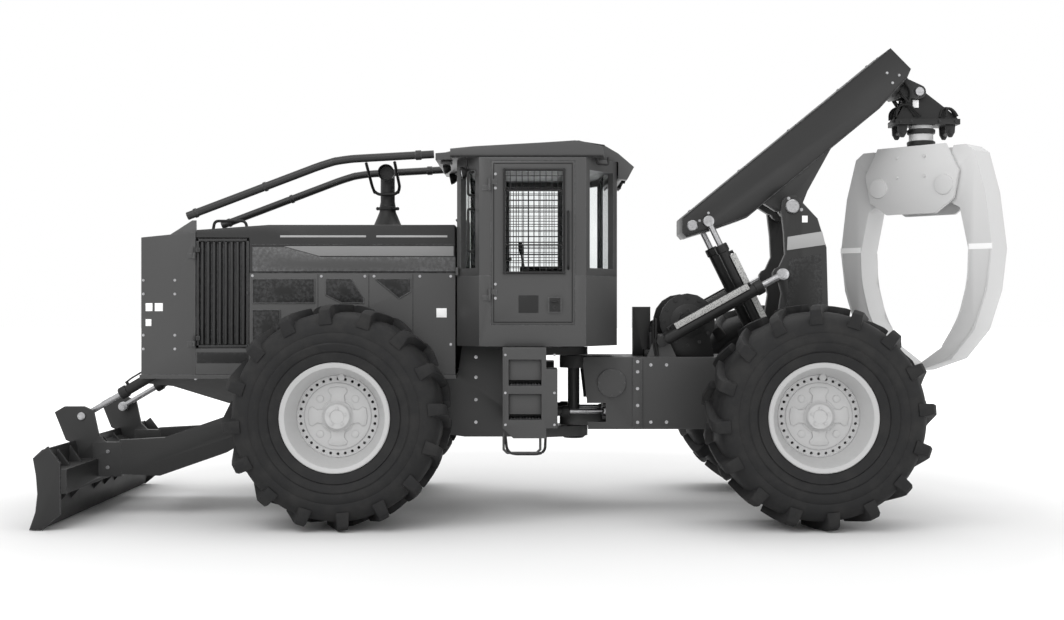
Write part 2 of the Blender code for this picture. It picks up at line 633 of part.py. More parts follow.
def make_cab_door():
    x = (DOOR_X[0] + DOOR_PLAY, DOOR_X[1] - DOOR_PLAY)
    z = (DOOR_Z[0] + DOOR_PLAY, DOOR_Z[1] - DOOR_PLAY)
    leaf = box(x, (-CAB_HALF, -CAB_HALF + CAB_WALL), z)
    knuckles = [hinge_half(DOOR_X[0] - 0.012, -1, CAB_HALF, h, 1) for h in (1.93, 2.87)]
    latch = box((0.14, 0.25), (-CAB_HALF - 0.03, -CAB_HALF + 0.01), (1.78, 1.91))
    window = box(WINDOW_X, (-CAB_HALF - 0.1, -CAB_HALF + 0.1), WINDOW_Z)
    return joined([leaf, *knuckles, latch], [window])


def make_door_glass():
    g = REST_GAP
    return box((WINDOW_X[0] + g, WINDOW_X[1] - g), (-CAB_HALF + 0.02, -CAB_HALF + 0.02 + GLASS_T),
               (WINDOW_Z[0] + g, WINDOW_Z[1] - g))


def glass_band(front):
    """One bent pane inside the posts, across the front or the rear of the cab."""
    outer = cab_plan(CAB_WALL + REST_GAP * 2)
    inner = cab_plan(CAB_WALL + REST_GAP * 2 + GLASS_T)
    order = (1, 0, 7, 6) if front else (2, 3, 4, 5)

    def trimmed(points):
        line = [Vector(points[i]) for i in order]
        line[0] = line[1] + (line[0] - line[1]) * 0.94
        line[-1] = line[-2] + (line[-1] - line[-2]) * 0.94
        return [tuple(p) for p in line]
    return prism(trimmed(outer) + trimmed(inner)[::-1], 2.11, 3.04, "z")


def make_cab_roof():
    """Roof cap with a front visor and a hooded rear light box."""
    middle = prism(ROOF_SECTION, -0.60, 0.60)
    wide = [(-0.70, CAB_TOP_Z + REST_GAP), (-0.70, 3.18), (-0.5, 3.20), (0.40, 3.25), (0.60, 3.20),
            (0.62, CAB_TOP_Z + REST_GAP)]
    skirt = prism(wide, -0.96, 0.96)
    ends = [prism([(CAB_ROOF_FRONT_X, 0.58 * s), (CAB_ROOF_FRONT_X, 0.75 * s), (-0.62, 0.90 * s),
                   (-0.62, 0.58 * s)],
                  CAB_TOP_Z + REST_GAP, 3.165, "z") for s in (-1, 1)]
    recess = box((0.80, 1.0), (-0.45, 0.45), (2.9, 3.02))
    return joined([middle, skirt, *ends], [recess])


def add_cab():
    place(make_cab_tub(), "cab_tub", "root", "body_grey")
    place(make_cab_frame(), "cab_frame", "root", "body_grey")
    place(make_cab_roof(), "cab_roof", "root", "body_grey")
    place(glass_band(True), "windshield", "root", "glass_clear")
    place(glass_band(False), "rear_window", "root", "glass_clear")
    both_sides(make_cab_door, "cab_door", "cab_door_{}", "body_grey")
    both_sides(make_door_glass, "door_glass", "cab_door_{}", "glass_clear")
    floor = CAB_FLOOR_Z + REST_GAP + 0.05
    pedestal = box((-0.05, 0.30), (-0.20, 0.20), (floor + REST_GAP, 1.90))
    cushion = box((-0.20, 0.33), (-0.27, 0.27), (1.88, 2.03))
    back = prism([(0.24, 1.95), (0.40, 1.95), (0.52, 2.72), (0.40, 2.72)], -0.25, 0.25)
    rests = [box((-0.12, 0.32), (s * 0.34 - 0.045, s * 0.34 + 0.045), (2.13, 2.19)) for s in (-1, 1)]
    posts = [box((0.22, 0.28), (s * 0.29 - 0.06, s * 0.29 + 0.06), (2.0, 2.16)) for s in (-1, 1)]
    place(joined([pedestal, cushion, back, *posts, *rests]), "operator_seat", "root", "cushion_black")
    both_sides(make_steps, "steps", "root", "body_grey")


def make_steps():
    """Box step beside the frame with two tread pockets and a hanging stirrup."""
    outline = [(STEP_X[0], 0.80), (STEP_X[0] + 0.09, 0.715), (0.12, 0.715), (0.12, CAB_FLOOR_Z - 0.005),
               (STEP_X[0], CAB_FLOOR_Z - 0.005)]
    body = prism(outline, -STEP_Y, -FRAME_HALF - REST_GAP)
    tail = box((0.10, STEP_X[1]), (-STEP_Y, -0.72), (0.80, 1.30))
    pockets = [box((STEP_X[0] + 0.05, 0.08), (-STEP_Y - 0.1, -STEP_Y + 0.22), (z, z + 0.22))
               for z in (0.87, 1.16)]
    loop = [(-0.24, 0.76), (-0.24, 0.62), (-0.21, 0.59), (0.04, 0.59), (0.07, 0.62), (0.07, 0.76)]
    stirrup = tube([(x, -STEP_Y + 0.03, z) for x, z in loop], 0.012, 8)
    return joined([body, tail, stirrup], pockets)


# ---- cylinders ----------------------------------------------------------------------


def lathe(profile, start, direction, sides=14):
    """A closed (distance, radius) outline turned about a line; radius 0 is a pole."""
    start, along = Vector(start), Vector(direction).normalized()
    side, up = frame_at(along)
    verts, rings = [], []
    for distance, radius in profile:
        rings.append((len(verts), sides if radius > 0 else 1))
        for k in range(rings[-1][1]):
            turn = 2 * math.pi * (k + 0.5) / sides
            verts.append(start + along * distance + (side * math.cos(turn) + up * math.sin(turn)) * radius)
    faces = []
    for (a, na), (b, nb) in zip(rings, rings[1:] + rings[:1]):
        for k in range(sides):
            face = [a + k % na, a + (k + 1) % na, b + (k + 1) % nb, b + k % nb]
            corners = list(dict.fromkeys(face))
            if len(corners) > 2:
                faces.append(tuple(corners))
    return solid(verts, faces)


def barrel(base, eye, length, radius, rod_r, pin=(0, 1, 0), eye_half=EYE_HALF):
    """Cylinder tube with a blind bore, a collar at its mouth and an eye round its base pin."""
    line = Vector(eye) - Vector(base)
    bore = rod_r + REST_GAP
    body = lathe([(0.02, 0), (0.02, radius), (length - 0.05, radius), (length - 0.05, radius + 0.01),
                  (length, radius + 0.01), (length, bore), (BORE_FOOT, bore), (BORE_FOOT, 0)], base, line)
    across = Vector(pin) * eye_half
    return joined([body, bar(Vector(base) - across, Vector(base) + across, radius * 0.9, 14)])


def piston_rod(base, eye, inner_end, rod_r, pin=(0, 1, 0)):
    """Rod from inside the bore to its eye."""
    line = Vector(eye) - Vector(base)
    reach = line.length
    body = lathe([(inner_end, 0), (inner_end, rod_r), (reach - 0.01, rod_r), (reach - 0.01, 0)], base, line)
    across = Vector(pin) * EYE_HALF
    return joined([body, bar(Vector(eye) - across, Vector(eye) + across, rod_r * 1.55, 14)])


def add_cylinder_pair(name, base, eye, y, length, radius, rod_r, inner_end, pin_r):
    """Two cylinders at +-y whose barrels share one cross pin at the base."""
    barrels = [barrel((base[0], s * y, base[1]), (eye[0], s * y, eye[1]), length, radius, rod_r)
               for s in (-1, 1)]
    place(joined([*barrels, cross_bar(base, -y, y, pin_r)]), f"{name}_cylinder_barrels",
          f"{name}_cylinder_barrels", "dark_grey", True)
    for side, s in (("left", -1), ("right", 1)):
        rod = piston_rod((base[0], s * y, base[1]), (eye[0], s * y, eye[1]), inner_end, rod_r)
        place(rod, f"{name}_cylinder_rod_{side}", f"{name}_cylinder_rods", "bare_metal", True)


def add_cylinders():
    add_cylinder_pair("arch", ARCH_CYL_BASE, ARCH_CYL_EYE, ARCH_CYL_Y, 1.02, 0.055, 0.030, 0.55, BASE_PIN_R)
    add_cylinder_pair("boom", BOOM_CYL_BASE, BOOM_CYL_EYE, BOOM_CYL_Y, 0.92, 0.050, 0.028, 0.25, BASE_PIN_R)
    add_cylinder_pair("blade", BLADE_CYL_BASE, BLADE_CYL_EYE, BLADE_CYL_Y, 0.68, 0.045, 0.025, 0.33,
                      BLADE_CYL_PIN_R)
    for side, s in (("left", -1), ("right", 1)):
        base, eye = steering_line(s)
        up = (0, 0, 1)
        place(barrel(base, eye, 0.54, STEER_BARREL_R, STEER_ROD_R, up, STEER_EAR_Z - REST_GAP),
              f"steering_barrel_{side}", f"steering_barrel_{side}",
              "dark_grey", True)
        place(piston_rod(base, eye, 0.345, STEER_ROD_R, up), f"steering_rod_{side}", f"steering_rod_{side}",
              "bare_metal", True)


# ---- blade --------------------------------------------------------------------------


def make_blade():
    """Curved mouldboard with end plates, a box beam, push arms and the cylinder brackets."""
    mould = prism(BLADE_FACE + BLADE_BACK, -BLADE_HALF + 0.02, BLADE_HALF - 0.02)
    end = [(-4.07, 0.59), (-4.045, 0.45), (-4.033, 0.30), (-4.05, 0.15), (-4.10, 0.005), (-4.0, 0.005),
           (-3.846, 0.13), (-3.846, 0.549), (-3.95, 0.687)]
    ends = [prism(end, s * (BLADE_HALF - 0.0125) - 0.0125, s * (BLADE_HALF - 0.0125) + 0.0125)
            for s in (-1, 1)]
    beam = box((-3.97, -3.80), (-BLADE_HALF + 0.015, BLADE_HALF - 0.015), (0.30, 0.50))
    bracket = [(-4.187, 0.904), (-4.10, 0.955), (-3.93, 0.955), (-3.847, 0.917), (-3.80, 0.70),
               (-3.612, 0.52), (-3.84, 0.33),
               (-3.975, 0.33), (-4.0, 0.62), (-4.089, 0.66)]
    arm = [(-3.62, 0.36), (-3.263, 0.346), (-2.685, 0.547), (-2.18, 0.84),
           *arc(BLADE_PIVOT, 0.07, -60, 90, 6),
           (-2.711, 0.86), (-3.229, 0.681), (-3.62, 0.66)]
    arms = []
    for s in (-1, 1):
        arms.append(prism(arm, s * BLADE_ARM_Y - 0.035, s * BLADE_ARM_Y + 0.035))
        arms.append(box((-3.85, -3.60), (s * BLADE_ARM_Y - 0.037, s * BLADE_ARM_Y + 0.037), (0.34, 0.64)))
        arms.append(prism(bracket, s * (BLADE_ARM_Y + 0.02) - 0.015, s * (BLADE_ARM_Y + 0.02) + 0.015))
    tie = box((-3.40, -3.25), (-0.60, 0.60), (0.42, 0.58))
    holes = [cross_bar(BLADE_PIVOT, -1, 1, bore(BLADE_PIN_R))]
    return joined([mould, *ends, beam, *arms, tie], holes)


def blade_pins():
    return [cross_bar(BLADE_PIVOT, *sorted((s * 0.44, s * (BLADE_ARM_Y + 0.04))), BLADE_PIN_R)
            for s in (-1, 1)]


# ---- rear frame and winch -----------------------------------------------------------
def make_rear_frame():
    wall = 0.04
    side = [(0.50, REAR_LOW_Z), (1.95, REAR_LOW_Z), (2.05, AXLE_PAD_Z), (2.68, AXLE_PAD_Z), (2.80, 0.80),
            (REAR_END_X, 0.80), (REAR_END_X, REAR_TOP_Z), (0.46, REAR_TOP_Z), (0.455, 1.30), (0.49, 1.0)]
    shell = prism(side, -REAR_HALF, REAR_HALF)
    hollow = box((0.2, REAR_END_X - wall), (wall - REAR_HALF, REAR_HALF - wall), (0.3, REAR_TOP_Z - wall))
    shell = joined([shell], [hollow])
    floor = box((0.60, 1.90), (-REAR_HALF + 0.01, REAR_HALF - 0.01),
                (REAR_LOW_Z + 0.001, REAR_LOW_Z + wall))
    rib = [prism([(0.90, REAR_LOW_Z + 0.01), (0.98, REAR_LOW_Z + 0.01), (0.98, 1.37), (0.90, 1.37)],
                 *sorted((s * 0.44, s * 0.475))) for s in (-1, 1)]
    cross = box((0.80, 0.86), (-0.42, 0.42), (0.75, 1.36))
    heads = []
    for z0, z1 in ((0.746, 0.85), (1.27, 1.382)):
        outline = [(0.82, -0.30), (0.62, -0.16)] + list(arc((HINGE_X, 0), 0.13, -80, -280, 8)) + [(0.62,
                                                                                                   0.16), (0.82, 0.30)]
        heads.append(prism(outline, z0, z1, "z"))
    pin = bar((HINGE_X, 0, 0.647), (HINGE_X, 0, 1.465), HINGE_PIN_R)
    lugs = [box((STEER_EYE[0] - 0.03, 0.82), (s * STEER_EYE[1] - 0.05, s * STEER_EYE[1] + 0.05),
                (z, z + 0.03))
            for s in (-1, 1) for z in (STEER_Z - 0.07, STEER_Z + 0.04)]
    ears, deck_plates = [], []
    ear = [(1.02, 1.36), (1.30, 1.36), *arc(ARCH_CYL_BASE, 0.065, 10, 160, 6)]
    for s in (-1, 1):
        ears.append(prism(ear, s * 0.40 - 0.025, s * 0.40 + 0.025))
        deck_plates.append(box((2.10, 2.62), (s * 0.28 - 0.02, s * 0.28 + 0.02), (1.19, 1.37)))
    slots = [box((2.02, 2.80), sorted((s * 0.31, s * 0.405)), (1.0, REAR_TOP_Z + 0.1)) for s in (-1, 1)]
    slots += [box((0.40, 0.66), sorted((s * 0.39, s * 0.60)), (STEER_Z - 0.085, STEER_Z + 0.085))
              for s in (-1, 1)]
    base_pin = cross_bar(ARCH_BASE, -0.43, 0.43, ARCH_PIN_R)
    round_cover = [cross_bar((0.71, 1.15), *sorted((s * 0.44, s * 0.462)), 0.13, 20) for s in (-1, 1)]
    holes = [cross_bar(ARCH_CYL_BASE, -0.6, 0.6, bore(BASE_PIN_R))]
    body = joined([shell, floor, cross, *rib, *heads, pin, *lugs, *round_cover, *ears], [*slots, *holes])
    return joined([body, *deck_plates, base_pin])


def make_winch_housing():
    """Two side plates, the gear case at the front and a drive drum cover, on the deck."""
    base = REAR_TOP_Z + REST_GAP
    plate = [(1.22, base), (1.64, base), *arc(WINCH_AT, WINCH_R, -35, 215, 12)]
    plates = [prism(plate, *sorted((s * 0.30, s * 0.335))) for s in (-1, 1)]
    foot = box((1.20, 1.62), (-0.33, 0.33), (base, base + 0.03))
    gear_case = box((0.93, 1.09), (-0.065, 0.065), (base, 1.83))
    neck = box((1.02, 1.22), (-0.33, 0.33), (base, base + 0.06))
    cover = cross_bar(WINCH_AT, -0.36, -0.31, 0.15, 20)
    shaft_holes = [cross_bar(WINCH_AT, -0.345, 1, bore(WINCH_SHAFT_R))]
    return joined([*plates, foot, gear_case, neck, cover], shaft_holes)


def make_winch_drum():
    half = WINCH_HALF - 0.012
    profile = [(0, -half - 0.03), (WINCH_SHAFT_R, -half - 0.03), (WINCH_SHAFT_R, -half),
               (WINCH_R - 0.015, -half),
               (WINCH_R - 0.015, -half + 0.025), (0.16, -half + 0.025), (0.16, half - 0.025),
               (WINCH_R - 0.015, half - 0.025), (WINCH_R - 0.015, half), (WINCH_SHAFT_R,
                                                                          half), (WINCH_SHAFT_R,
                                                                                  half + 0.03), (0,
                                                                                                 half + 0.03)]
    return turned(profile, (WINCH_AT[0], 0, WINCH_AT[1]), 20)


# ---- arch, boom and grapple ---------------------------------------------------------
def make_arch():
    """Two legs tied by cross boxes, with the ears for the boom pin and the cylinder lugs."""
    leg = [*arc(ARCH_BASE, 0.12, 180, 360, 8), (2.66, 1.62), (2.64, 2.36), (2.56, 2.62),
           *arc(BOOM_PIVOT, 0.10, 20, 180, 6), (2.26, 2.50), (2.27, 2.30), (2.22,
                                                                            2.19), *arc(ARCH_CYL_EYE,
                                                                                        0.07, 100, 260, 5),
           (2.24, 1.95), (2.20, 1.70), (2.20, 1.45)]
    legs = [prism(leg, s * ARCH_HALF - ARCH_T / 2, s * ARCH_HALF + ARCH_T / 2) for s in (-1, 1)]
    ties = [prism([(2.40, 1.54), (2.60, 1.54), (2.60, 2.25), (2.40, 2.25), (2.34, 1.9)], -ARCH_HALF,
                  ARCH_HALF)]
    lugs = [prism([(2.42, 1.50), (2.42, 1.70), *arc(BOOM_CYL_BASE, 0.06, 90, 270, 6)], s * 0.25 - 0.02,
                  s * 0.25 + 0.02)
            for s in (-1, 1)]
    bosses = [cross_bar(ARCH_CYL_EYE, *sorted((s * 0.39, s * (ARCH_CYL_Y - EYE_HALF - 0.006))), 0.045)
              for s in (-1, 1)]
    holes = [cross_bar(BOOM_PIVOT, -1, 1, bore(BOOM_PIN_R)), cross_bar(ARCH_BASE, -1, 1, bore(ARCH_PIN_R)),
             cross_bar(BOOM_CYL_BASE, -1, 1, bore(BASE_PIN_R))]
    return joined([*legs, *ties, *lugs, *bosses], holes)


def make_boom():
    """Box boom with its pivot bracket, front fork and the tip's swivel block."""
    beam = [(1.364, 2.635), (3.252, 4.176), (3.438, 3.987), (3.404, 3.908), (3.155, 3.629), (1.948, 2.637),
            (1.66, 2.535), (1.40, 2.46), (1.364, 2.50)]
    core = prism(beam, -BOOM_HALF, BOOM_HALF)
    bracket = [(2.10, 2.77), (2.21, 2.70), *arc(BOOM_PIVOT, 0.10, 200, 340, 6), (2.50, 2.88), (2.72, 3.28)]
    brackets = [prism(bracket, *sorted((s * 0.16, s * (BOOM_HALF - 0.002)))) for s in (-1, 1)]
    bosses = [cross_bar(BOOM_CYL_EYE, *sorted((s * 0.21, s * (BOOM_CYL_Y - EYE_HALF - 0.006))), 0.045)
              for s in (-1, 1)]
    pin = cross_bar(BOOM_PIVOT, -0.41, 0.41, BOOM_PIN_R)
    block = prism([(3.25, 3.80), (3.40, 3.93), (3.445, 3.93), (3.475, 3.88), (3.40, 3.76), (3.33, 3.74)],
                  -0.11, 0.11)
    lug = [(3.34, 3.76), (3.44, 3.92), *arc(YOKE_PIN, 0.065, 75, -105, 7)]
    lugs = [prism(lug, *sorted((s * 0.088, s * 0.125))) for s in (-1, 1)]
    tip_pin = cross_bar(YOKE_PIN, -0.12, 0.12, YOKE_PIN_R)
    return joined([core, *brackets, *bosses, pin, block, *lugs, tip_pin])


def make_yoke():
    """Hanger from the boom tip pin down to the bar that carries the rotator."""
    plate = [*arc(YOKE_PIN, 0.07, 0, 180, 8), (3.34, 3.565), (3.31, 3.53), (3.35, 3.50), (3.90, 3.50),
             (3.94, 3.53), (3.90, 3.58)]
    hanger = prism(plate, -0.08, 0.08)
    bar_x = box((3.33, 3.92), (-0.14, 0.14), (3.50, 3.55))
    return joined([hanger, bar_x], [cross_bar(YOKE_PIN, -1, 1, bore(YOKE_PIN_R))])


def tong_point(out, across, z):
    """A point given in the grapple's own plane: out from its axis, across it, and up."""
    c, s = math.cos(TONG_TURN), math.sin(TONG_TURN)
    return (GRAPPLE_X + out * c - across * s, out * s + across * c, z)


def grapple_prism(outline, low, high):
    """An (out, z) outline extruded across the grapple's plane."""
    piece = prism([(o, z) for o, z in outline], low, high)
    piece.data.transform(Matrix.Translation((GRAPPLE_X, 0, 0)) @ Matrix.Rotation(TONG_TURN, 4, "Z"))
    return piece


def grapple_bar(out, z, low, high, radius):
    return bar(tong_point(out, low, z), tong_point(out, high, z), radius)


def make_head():
    outline = [(-0.42, 2.80), (-0.25, 2.68), (0.25, 2.68), (0.42, 2.80), (0.47, 3.05), (0.34, HEAD_TOP_Z),
               (-0.34, HEAD_TOP_Z), (-0.47, 3.05)]
    plates = [grapple_prism(outline, *sorted((s * HEAD_HALF, s * (HEAD_HALF + 0.035)))) for s in (-1, 1)]
    core = grapple_prism([(-0.10, 2.70), (0.10, 2.70), (0.10, HEAD_TOP_Z - 0.01),
                          (-0.10, HEAD_TOP_Z - 0.01)],
                         -HEAD_HALF - 0.01, HEAD_HALF + 0.01)
    rotator = bar((GRAPPLE_X, 0, HEAD_TOP_Z - 0.05), (GRAPPLE_X, 0, 3.50 - REST_GAP), 0.11, 20)
    pins = [grapple_bar(s * TONG_PIN_OUT, TONG_PIN_Z, -HEAD_HALF - 0.03, HEAD_HALF + 0.03, TONG_PIN_R)
            for s in (-1, 1)]
    return joined([*plates, core, rotator, *pins])


def make_tong(s):
    """Curved tong with a hub round its pin and a lever for its cylinder."""
    outline = [(0.055, 1.245), (0.38, 1.36), (0.60, 1.62), (0.72, 1.98), (0.765, 2.35), (0.70, 2.85),
               (0.60, 3.22),
               (0.52, 3.28), (0.40, 3.28), *arc((TONG_PIN_OUT, TONG_PIN_Z), 0.14, 80, 270, 8), (0.46,
                                                                                                2.72), (0.54, 2.35),
               (0.53, 2.05), (0.44, 1.72), (0.28, 1.46), (0.05, 1.30)]
    outline = [(s * o, z) for o, z in outline]
    tong = grapple_prism(outline, -TONG_HALF, TONG_HALF)
    return joined([tong], [grapple_bar(s * TONG_PIN_OUT, TONG_PIN_Z, -1, 1, bore(TONG_PIN_R))])


def add_rear():
    place(make_rear_frame(), "rear_frame", "rear_frame", "body_grey")
    place(make_winch_housing(), "winch_housing", "rear_frame", "dark_grey")
    place(make_winch_drum(), "winch_drum", "winch_drum", "bare_metal", True)
    place(make_arch(), "arch", "arch", "dark_grey")
    place(make_boom(), "boom", "boom", "dark_grey")
    place(make_yoke(), "grapple_yoke", "grapple_yoke", "dark_grey")
    place(make_head(), "grapple_head", "grapple_head", "grapple_grey")
    for side, s in (("near", 1), ("far", -1)):
        place(make_tong(s), f"tong_{side}", f"tong_{side}", "grapple_grey")


def main():
    clear_scene()
    set_paints()
    set_pivots()
    add_wheels()
    add_axles()
    add_front()
    add_cab()
    place(make_blade(), "blade", "blade", "dark_grey")
    add_cylinders()
    add_rear()


main()
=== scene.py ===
"""Finished looks of the articulated grapple skidder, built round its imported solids."""
import json
import math

import bpy
from bpy.props import FloatProperty, FloatVectorProperty, IntProperty, PointerProperty
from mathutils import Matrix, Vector

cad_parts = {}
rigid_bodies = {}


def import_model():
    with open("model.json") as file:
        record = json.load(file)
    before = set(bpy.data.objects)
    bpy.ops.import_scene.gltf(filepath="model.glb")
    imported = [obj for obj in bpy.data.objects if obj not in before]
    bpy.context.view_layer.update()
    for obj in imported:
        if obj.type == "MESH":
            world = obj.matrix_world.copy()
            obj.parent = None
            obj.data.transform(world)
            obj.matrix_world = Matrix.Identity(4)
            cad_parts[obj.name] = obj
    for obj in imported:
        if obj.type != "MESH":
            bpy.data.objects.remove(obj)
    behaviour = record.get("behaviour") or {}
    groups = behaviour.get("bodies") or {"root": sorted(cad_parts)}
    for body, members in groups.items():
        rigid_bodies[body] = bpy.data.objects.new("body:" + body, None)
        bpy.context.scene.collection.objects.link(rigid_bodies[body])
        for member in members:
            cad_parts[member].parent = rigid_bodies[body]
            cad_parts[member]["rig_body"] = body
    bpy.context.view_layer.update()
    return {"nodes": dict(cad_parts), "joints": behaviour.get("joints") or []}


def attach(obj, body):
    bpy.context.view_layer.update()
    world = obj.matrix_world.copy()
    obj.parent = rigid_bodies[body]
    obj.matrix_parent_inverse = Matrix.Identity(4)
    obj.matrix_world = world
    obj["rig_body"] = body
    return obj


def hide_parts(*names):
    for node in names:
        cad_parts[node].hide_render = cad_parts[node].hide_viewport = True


bl_info = {
    "name": "Grapple skidder looks",
    "version": (1, 0, 0),
    "blender": (4, 5, 0),
    "location": "View3D > Sidebar > Skidder",
    "description": "Builds tyres, sheet metal, glazing, guards and grapple round the skidder's solids",
    "category": "Object",
}

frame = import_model()
NODES = frame["nodes"]
JOINTS = {joint["name"]: joint for joint in frame["joints"]}
SIDES = (("left", -1), ("right", 1))
FINISHES = {}


def joint_at(name):
    return Vector(JOINTS[name]["pos_m"])


# ---- sizes and colours that a user would change ---------------------------------------
class PaintSettings(bpy.types.PropertyGroup):
    body: FloatVectorProperty(name="Body grey", description="Cab, frame and lower panels",
                              subtype="COLOR", default=(0.054, 0.054, 0.054), min=0, max=1)
    dark: FloatVectorProperty(name="Dark grey", description="Hood top, boom, arch and blade",
                              subtype="COLOR", default=(0.017, 0.017, 0.017), min=0, max=1)
    silver: FloatVectorProperty(name="Silver", description="Hood stripe and arch band", subtype="COLOR",
                                default=(0.20, 0.20, 0.20), min=0, max=1)
    grapple: FloatVectorProperty(name="Grapple grey", description="Grapple head and tongs",
                                 subtype="COLOR", default=(0.54, 0.54, 0.54), min=0, max=1)
    wheel: FloatVectorProperty(name="Wheel grey", description="Rims and wheel discs", subtype="COLOR",
                               default=(0.46, 0.46, 0.46), min=0, max=1)
    wear: FloatProperty(name="Wear", description="How much the paint has rubbed at its edges",
                        default=0.25, min=0, max=1, subtype="FACTOR")


class TyreSettings(bpy.types.PropertyGroup):
    lugs: IntProperty(name="Lugs per side", description="Tread bars on each side of a tyre",
                      default=16, min=8, max=24)
    lug_height: FloatProperty(name="Lug height", description="Depth of the tread bars", default=0.058,
                              min=0.02, max=0.1, subtype="DISTANCE", unit="LENGTH")
    shoulder: FloatProperty(name="Shoulder radius",
                            description="Where the tread bars end on the sidewall", default=0.765,
                            subtype="DISTANCE", unit="LENGTH")


class TrimSettings(bpy.types.PropertyGroup):
    edge: FloatProperty(name="Edge radius", description="Rounding of plate edges", default=0.006,
                        subtype="DISTANCE", unit="LENGTH")
    mesh_pitch: FloatProperty(name="Guard pitch", description="Spacing of the window guard's wires",
                              default=0.052, subtype="DISTANCE", unit="LENGTH")
    louvres: IntProperty(name="Louvres", description="Corrugations in each front side door", default=8)


SETTINGS = {"skidder_paint": PaintSettings, "skidder_tyre": TyreSettings, "skidder_trim": TrimSettings}


def settings(name):
    return getattr(bpy.context.scene, "skidder_" + name)


# ---- modelling helpers ----------------------------------------------------------------
def deselect():
    if bpy.context.mode != "OBJECT":
        bpy.ops.object.mode_set(mode="OBJECT")
    bpy.ops.object.select_all(action="DESELECT")


def pick(*objects):
    deselect()
    for obj in objects:
        obj.select_set(True)
    bpy.context.view_layer.objects.active = objects[0]


def named(name):
    obj = bpy.context.object
    obj.name = name
    obj.data.name = name
    return obj


def settle(obj):
    """Bring the object's place into its mesh, so that the object sits at the origin."""
    pick(obj)
    bpy.ops.object.transform_apply(location=True, rotation=True, scale=True)
    return obj


def edit_all(obj, *steps):
    """Run edit-mode operators on the whole mesh."""
    pick(obj)
    bpy.ops.object.mode_set(mode="EDIT")
    bpy.ops.mesh.select_all(action="SELECT")
    for step in steps:
        step()
    bpy.ops.object.mode_set(mode="OBJECT")
    return obj


def face_out():
    bpy.ops.mesh.normals_make_consistent(inside=False)


def apply_modifier(obj, kind, **values):
    pick(obj)
    modifier = obj.modifiers.new(kind.title(), kind)
    for key, value in values.items():
        setattr(modifier, key, value)
    bpy.ops.object.modifier_apply(modifier=modifier.name)
    return obj


def smooth(obj, angle=35):
    pick(obj)
    bpy.ops.object.shade_smooth_by_angle(angle=math.radians(angle))
    return obj


def rounded(obj, width, segments=2, angle=30):
    """Round the sharp edges and shade the result."""
    apply_modifier(obj, "BEVEL", width=width, segments=segments, limit_method="ANGLE",
                   angle_limit=math.radians(angle), use_clamp_overlap=True, miter_outer="MITER_SHARP")
    return smooth(obj)


def polyline(points):
    """A bent line of edges, one vertex extruded from point to point."""
    deselect()
    bpy.ops.mesh.primitive_plane_add(size=0.01, location=points[0])
    line = settle(bpy.context.object)
    bpy.ops.object.mode_set(mode="EDIT")
    bpy.ops.mesh.select_all(action="SELECT")
    bpy.ops.mesh.merge(type="CENTER")
    for start, end in zip(points, points[1:]):
        bpy.ops.mesh.extrude_region_move(TRANSFORM_OT_translate={"value": Vector(end) - Vector(start)})
    return line


def turn_profile(name, profile, centre, steps, axis=(0, 1, 0), closed=False):
    """Spin (radius, offset) points about an axis line through the centre."""
    axis = Vector(axis).normalized()
    side = axis.orthogonal().normalized()
    centre = Vector(centre)
    points = [centre + side * radius + axis * offset for radius, offset in profile]
    polyline(points + points[:1] if closed else points)
    bpy.ops.mesh.select_all(action="SELECT")
    bpy.ops.mesh.remove_doubles(threshold=1e-5)
    bpy.ops.mesh.select_all(action="SELECT")
    bpy.ops.mesh.spin(steps=steps, angle=math.tau, center=centre, axis=axis)
    bpy.ops.mesh.select_all(action="SELECT")
    bpy.ops.mesh.remove_doubles(threshold=1e-5)
    bpy.ops.mesh.normals_make_consistent(inside=False)
    bpy.ops.object.mode_set(mode="OBJECT")
    return smooth(named(name))


def plate(name, outline, low, high, across="y", edge=0.0, segments=2):
    """A flat outline, extruded between two values of the axis it lies across."""
    lift = {"y": lambda a, b: (a, low, b), "z": lambda a, b: (a, b, low), "x": lambda a,
            b: (low, a, b)}[across]
    points = [lift(*p) for p in outline]
    polyline(points)
    bpy.ops.mesh.select_all(action="SELECT")
    bpy.ops.mesh.edge_face_add()
    move = {"y": (0, high - low, 0), "z": (0, 0, high - low), "x": (high - low, 0, 0)}[across]
    bpy.ops.mesh.extrude_region_move(TRANSFORM_OT_translate={"value": move})
    bpy.ops.mesh.select_all(action="SELECT")
    bpy.ops.mesh.normals_make_consistent(inside=False)
    bpy.ops.object.mode_set(mode="OBJECT")
    obj = named(name)
    return rounded(obj, edge, segments) if edge else smooth(obj)


def block(name, low, high, edge=0.003):
    """A block with rounded edges between two corners."""
    low, high = Vector(low), Vector(high)
    deselect()
    bpy.ops.mesh.primitive_cube_add(size=1, location=(low + high) / 2, scale=high - low)
    return rounded(settle(named(name)), edge)


def pipe(name, path, radius, bend=0.0, sides=3, segments=4):
    """A round bar along a path, its corners rounded by a bend radius."""
    polyline(path)
    if bend and len(path) > 2:
        bpy.ops.mesh.select_all(action="SELECT")
        bpy.ops.mesh.bevel(offset=bend, segments=segments, affect="VERTICES", profile=0.5)
    bpy.ops.object.mode_set(mode="OBJECT")
    bpy.ops.object.convert(target="CURVE")
    curve = bpy.context.object
    curve.data.bevel_depth = radius
    curve.data.bevel_resolution = sides
    curve.data.use_fill_caps = True
    bpy.ops.object.convert(target="MESH")
    obj = edit_all(named(name), lambda: bpy.ops.mesh.remove_doubles(threshold=1e-5), face_out)
    return smooth(obj, 50)


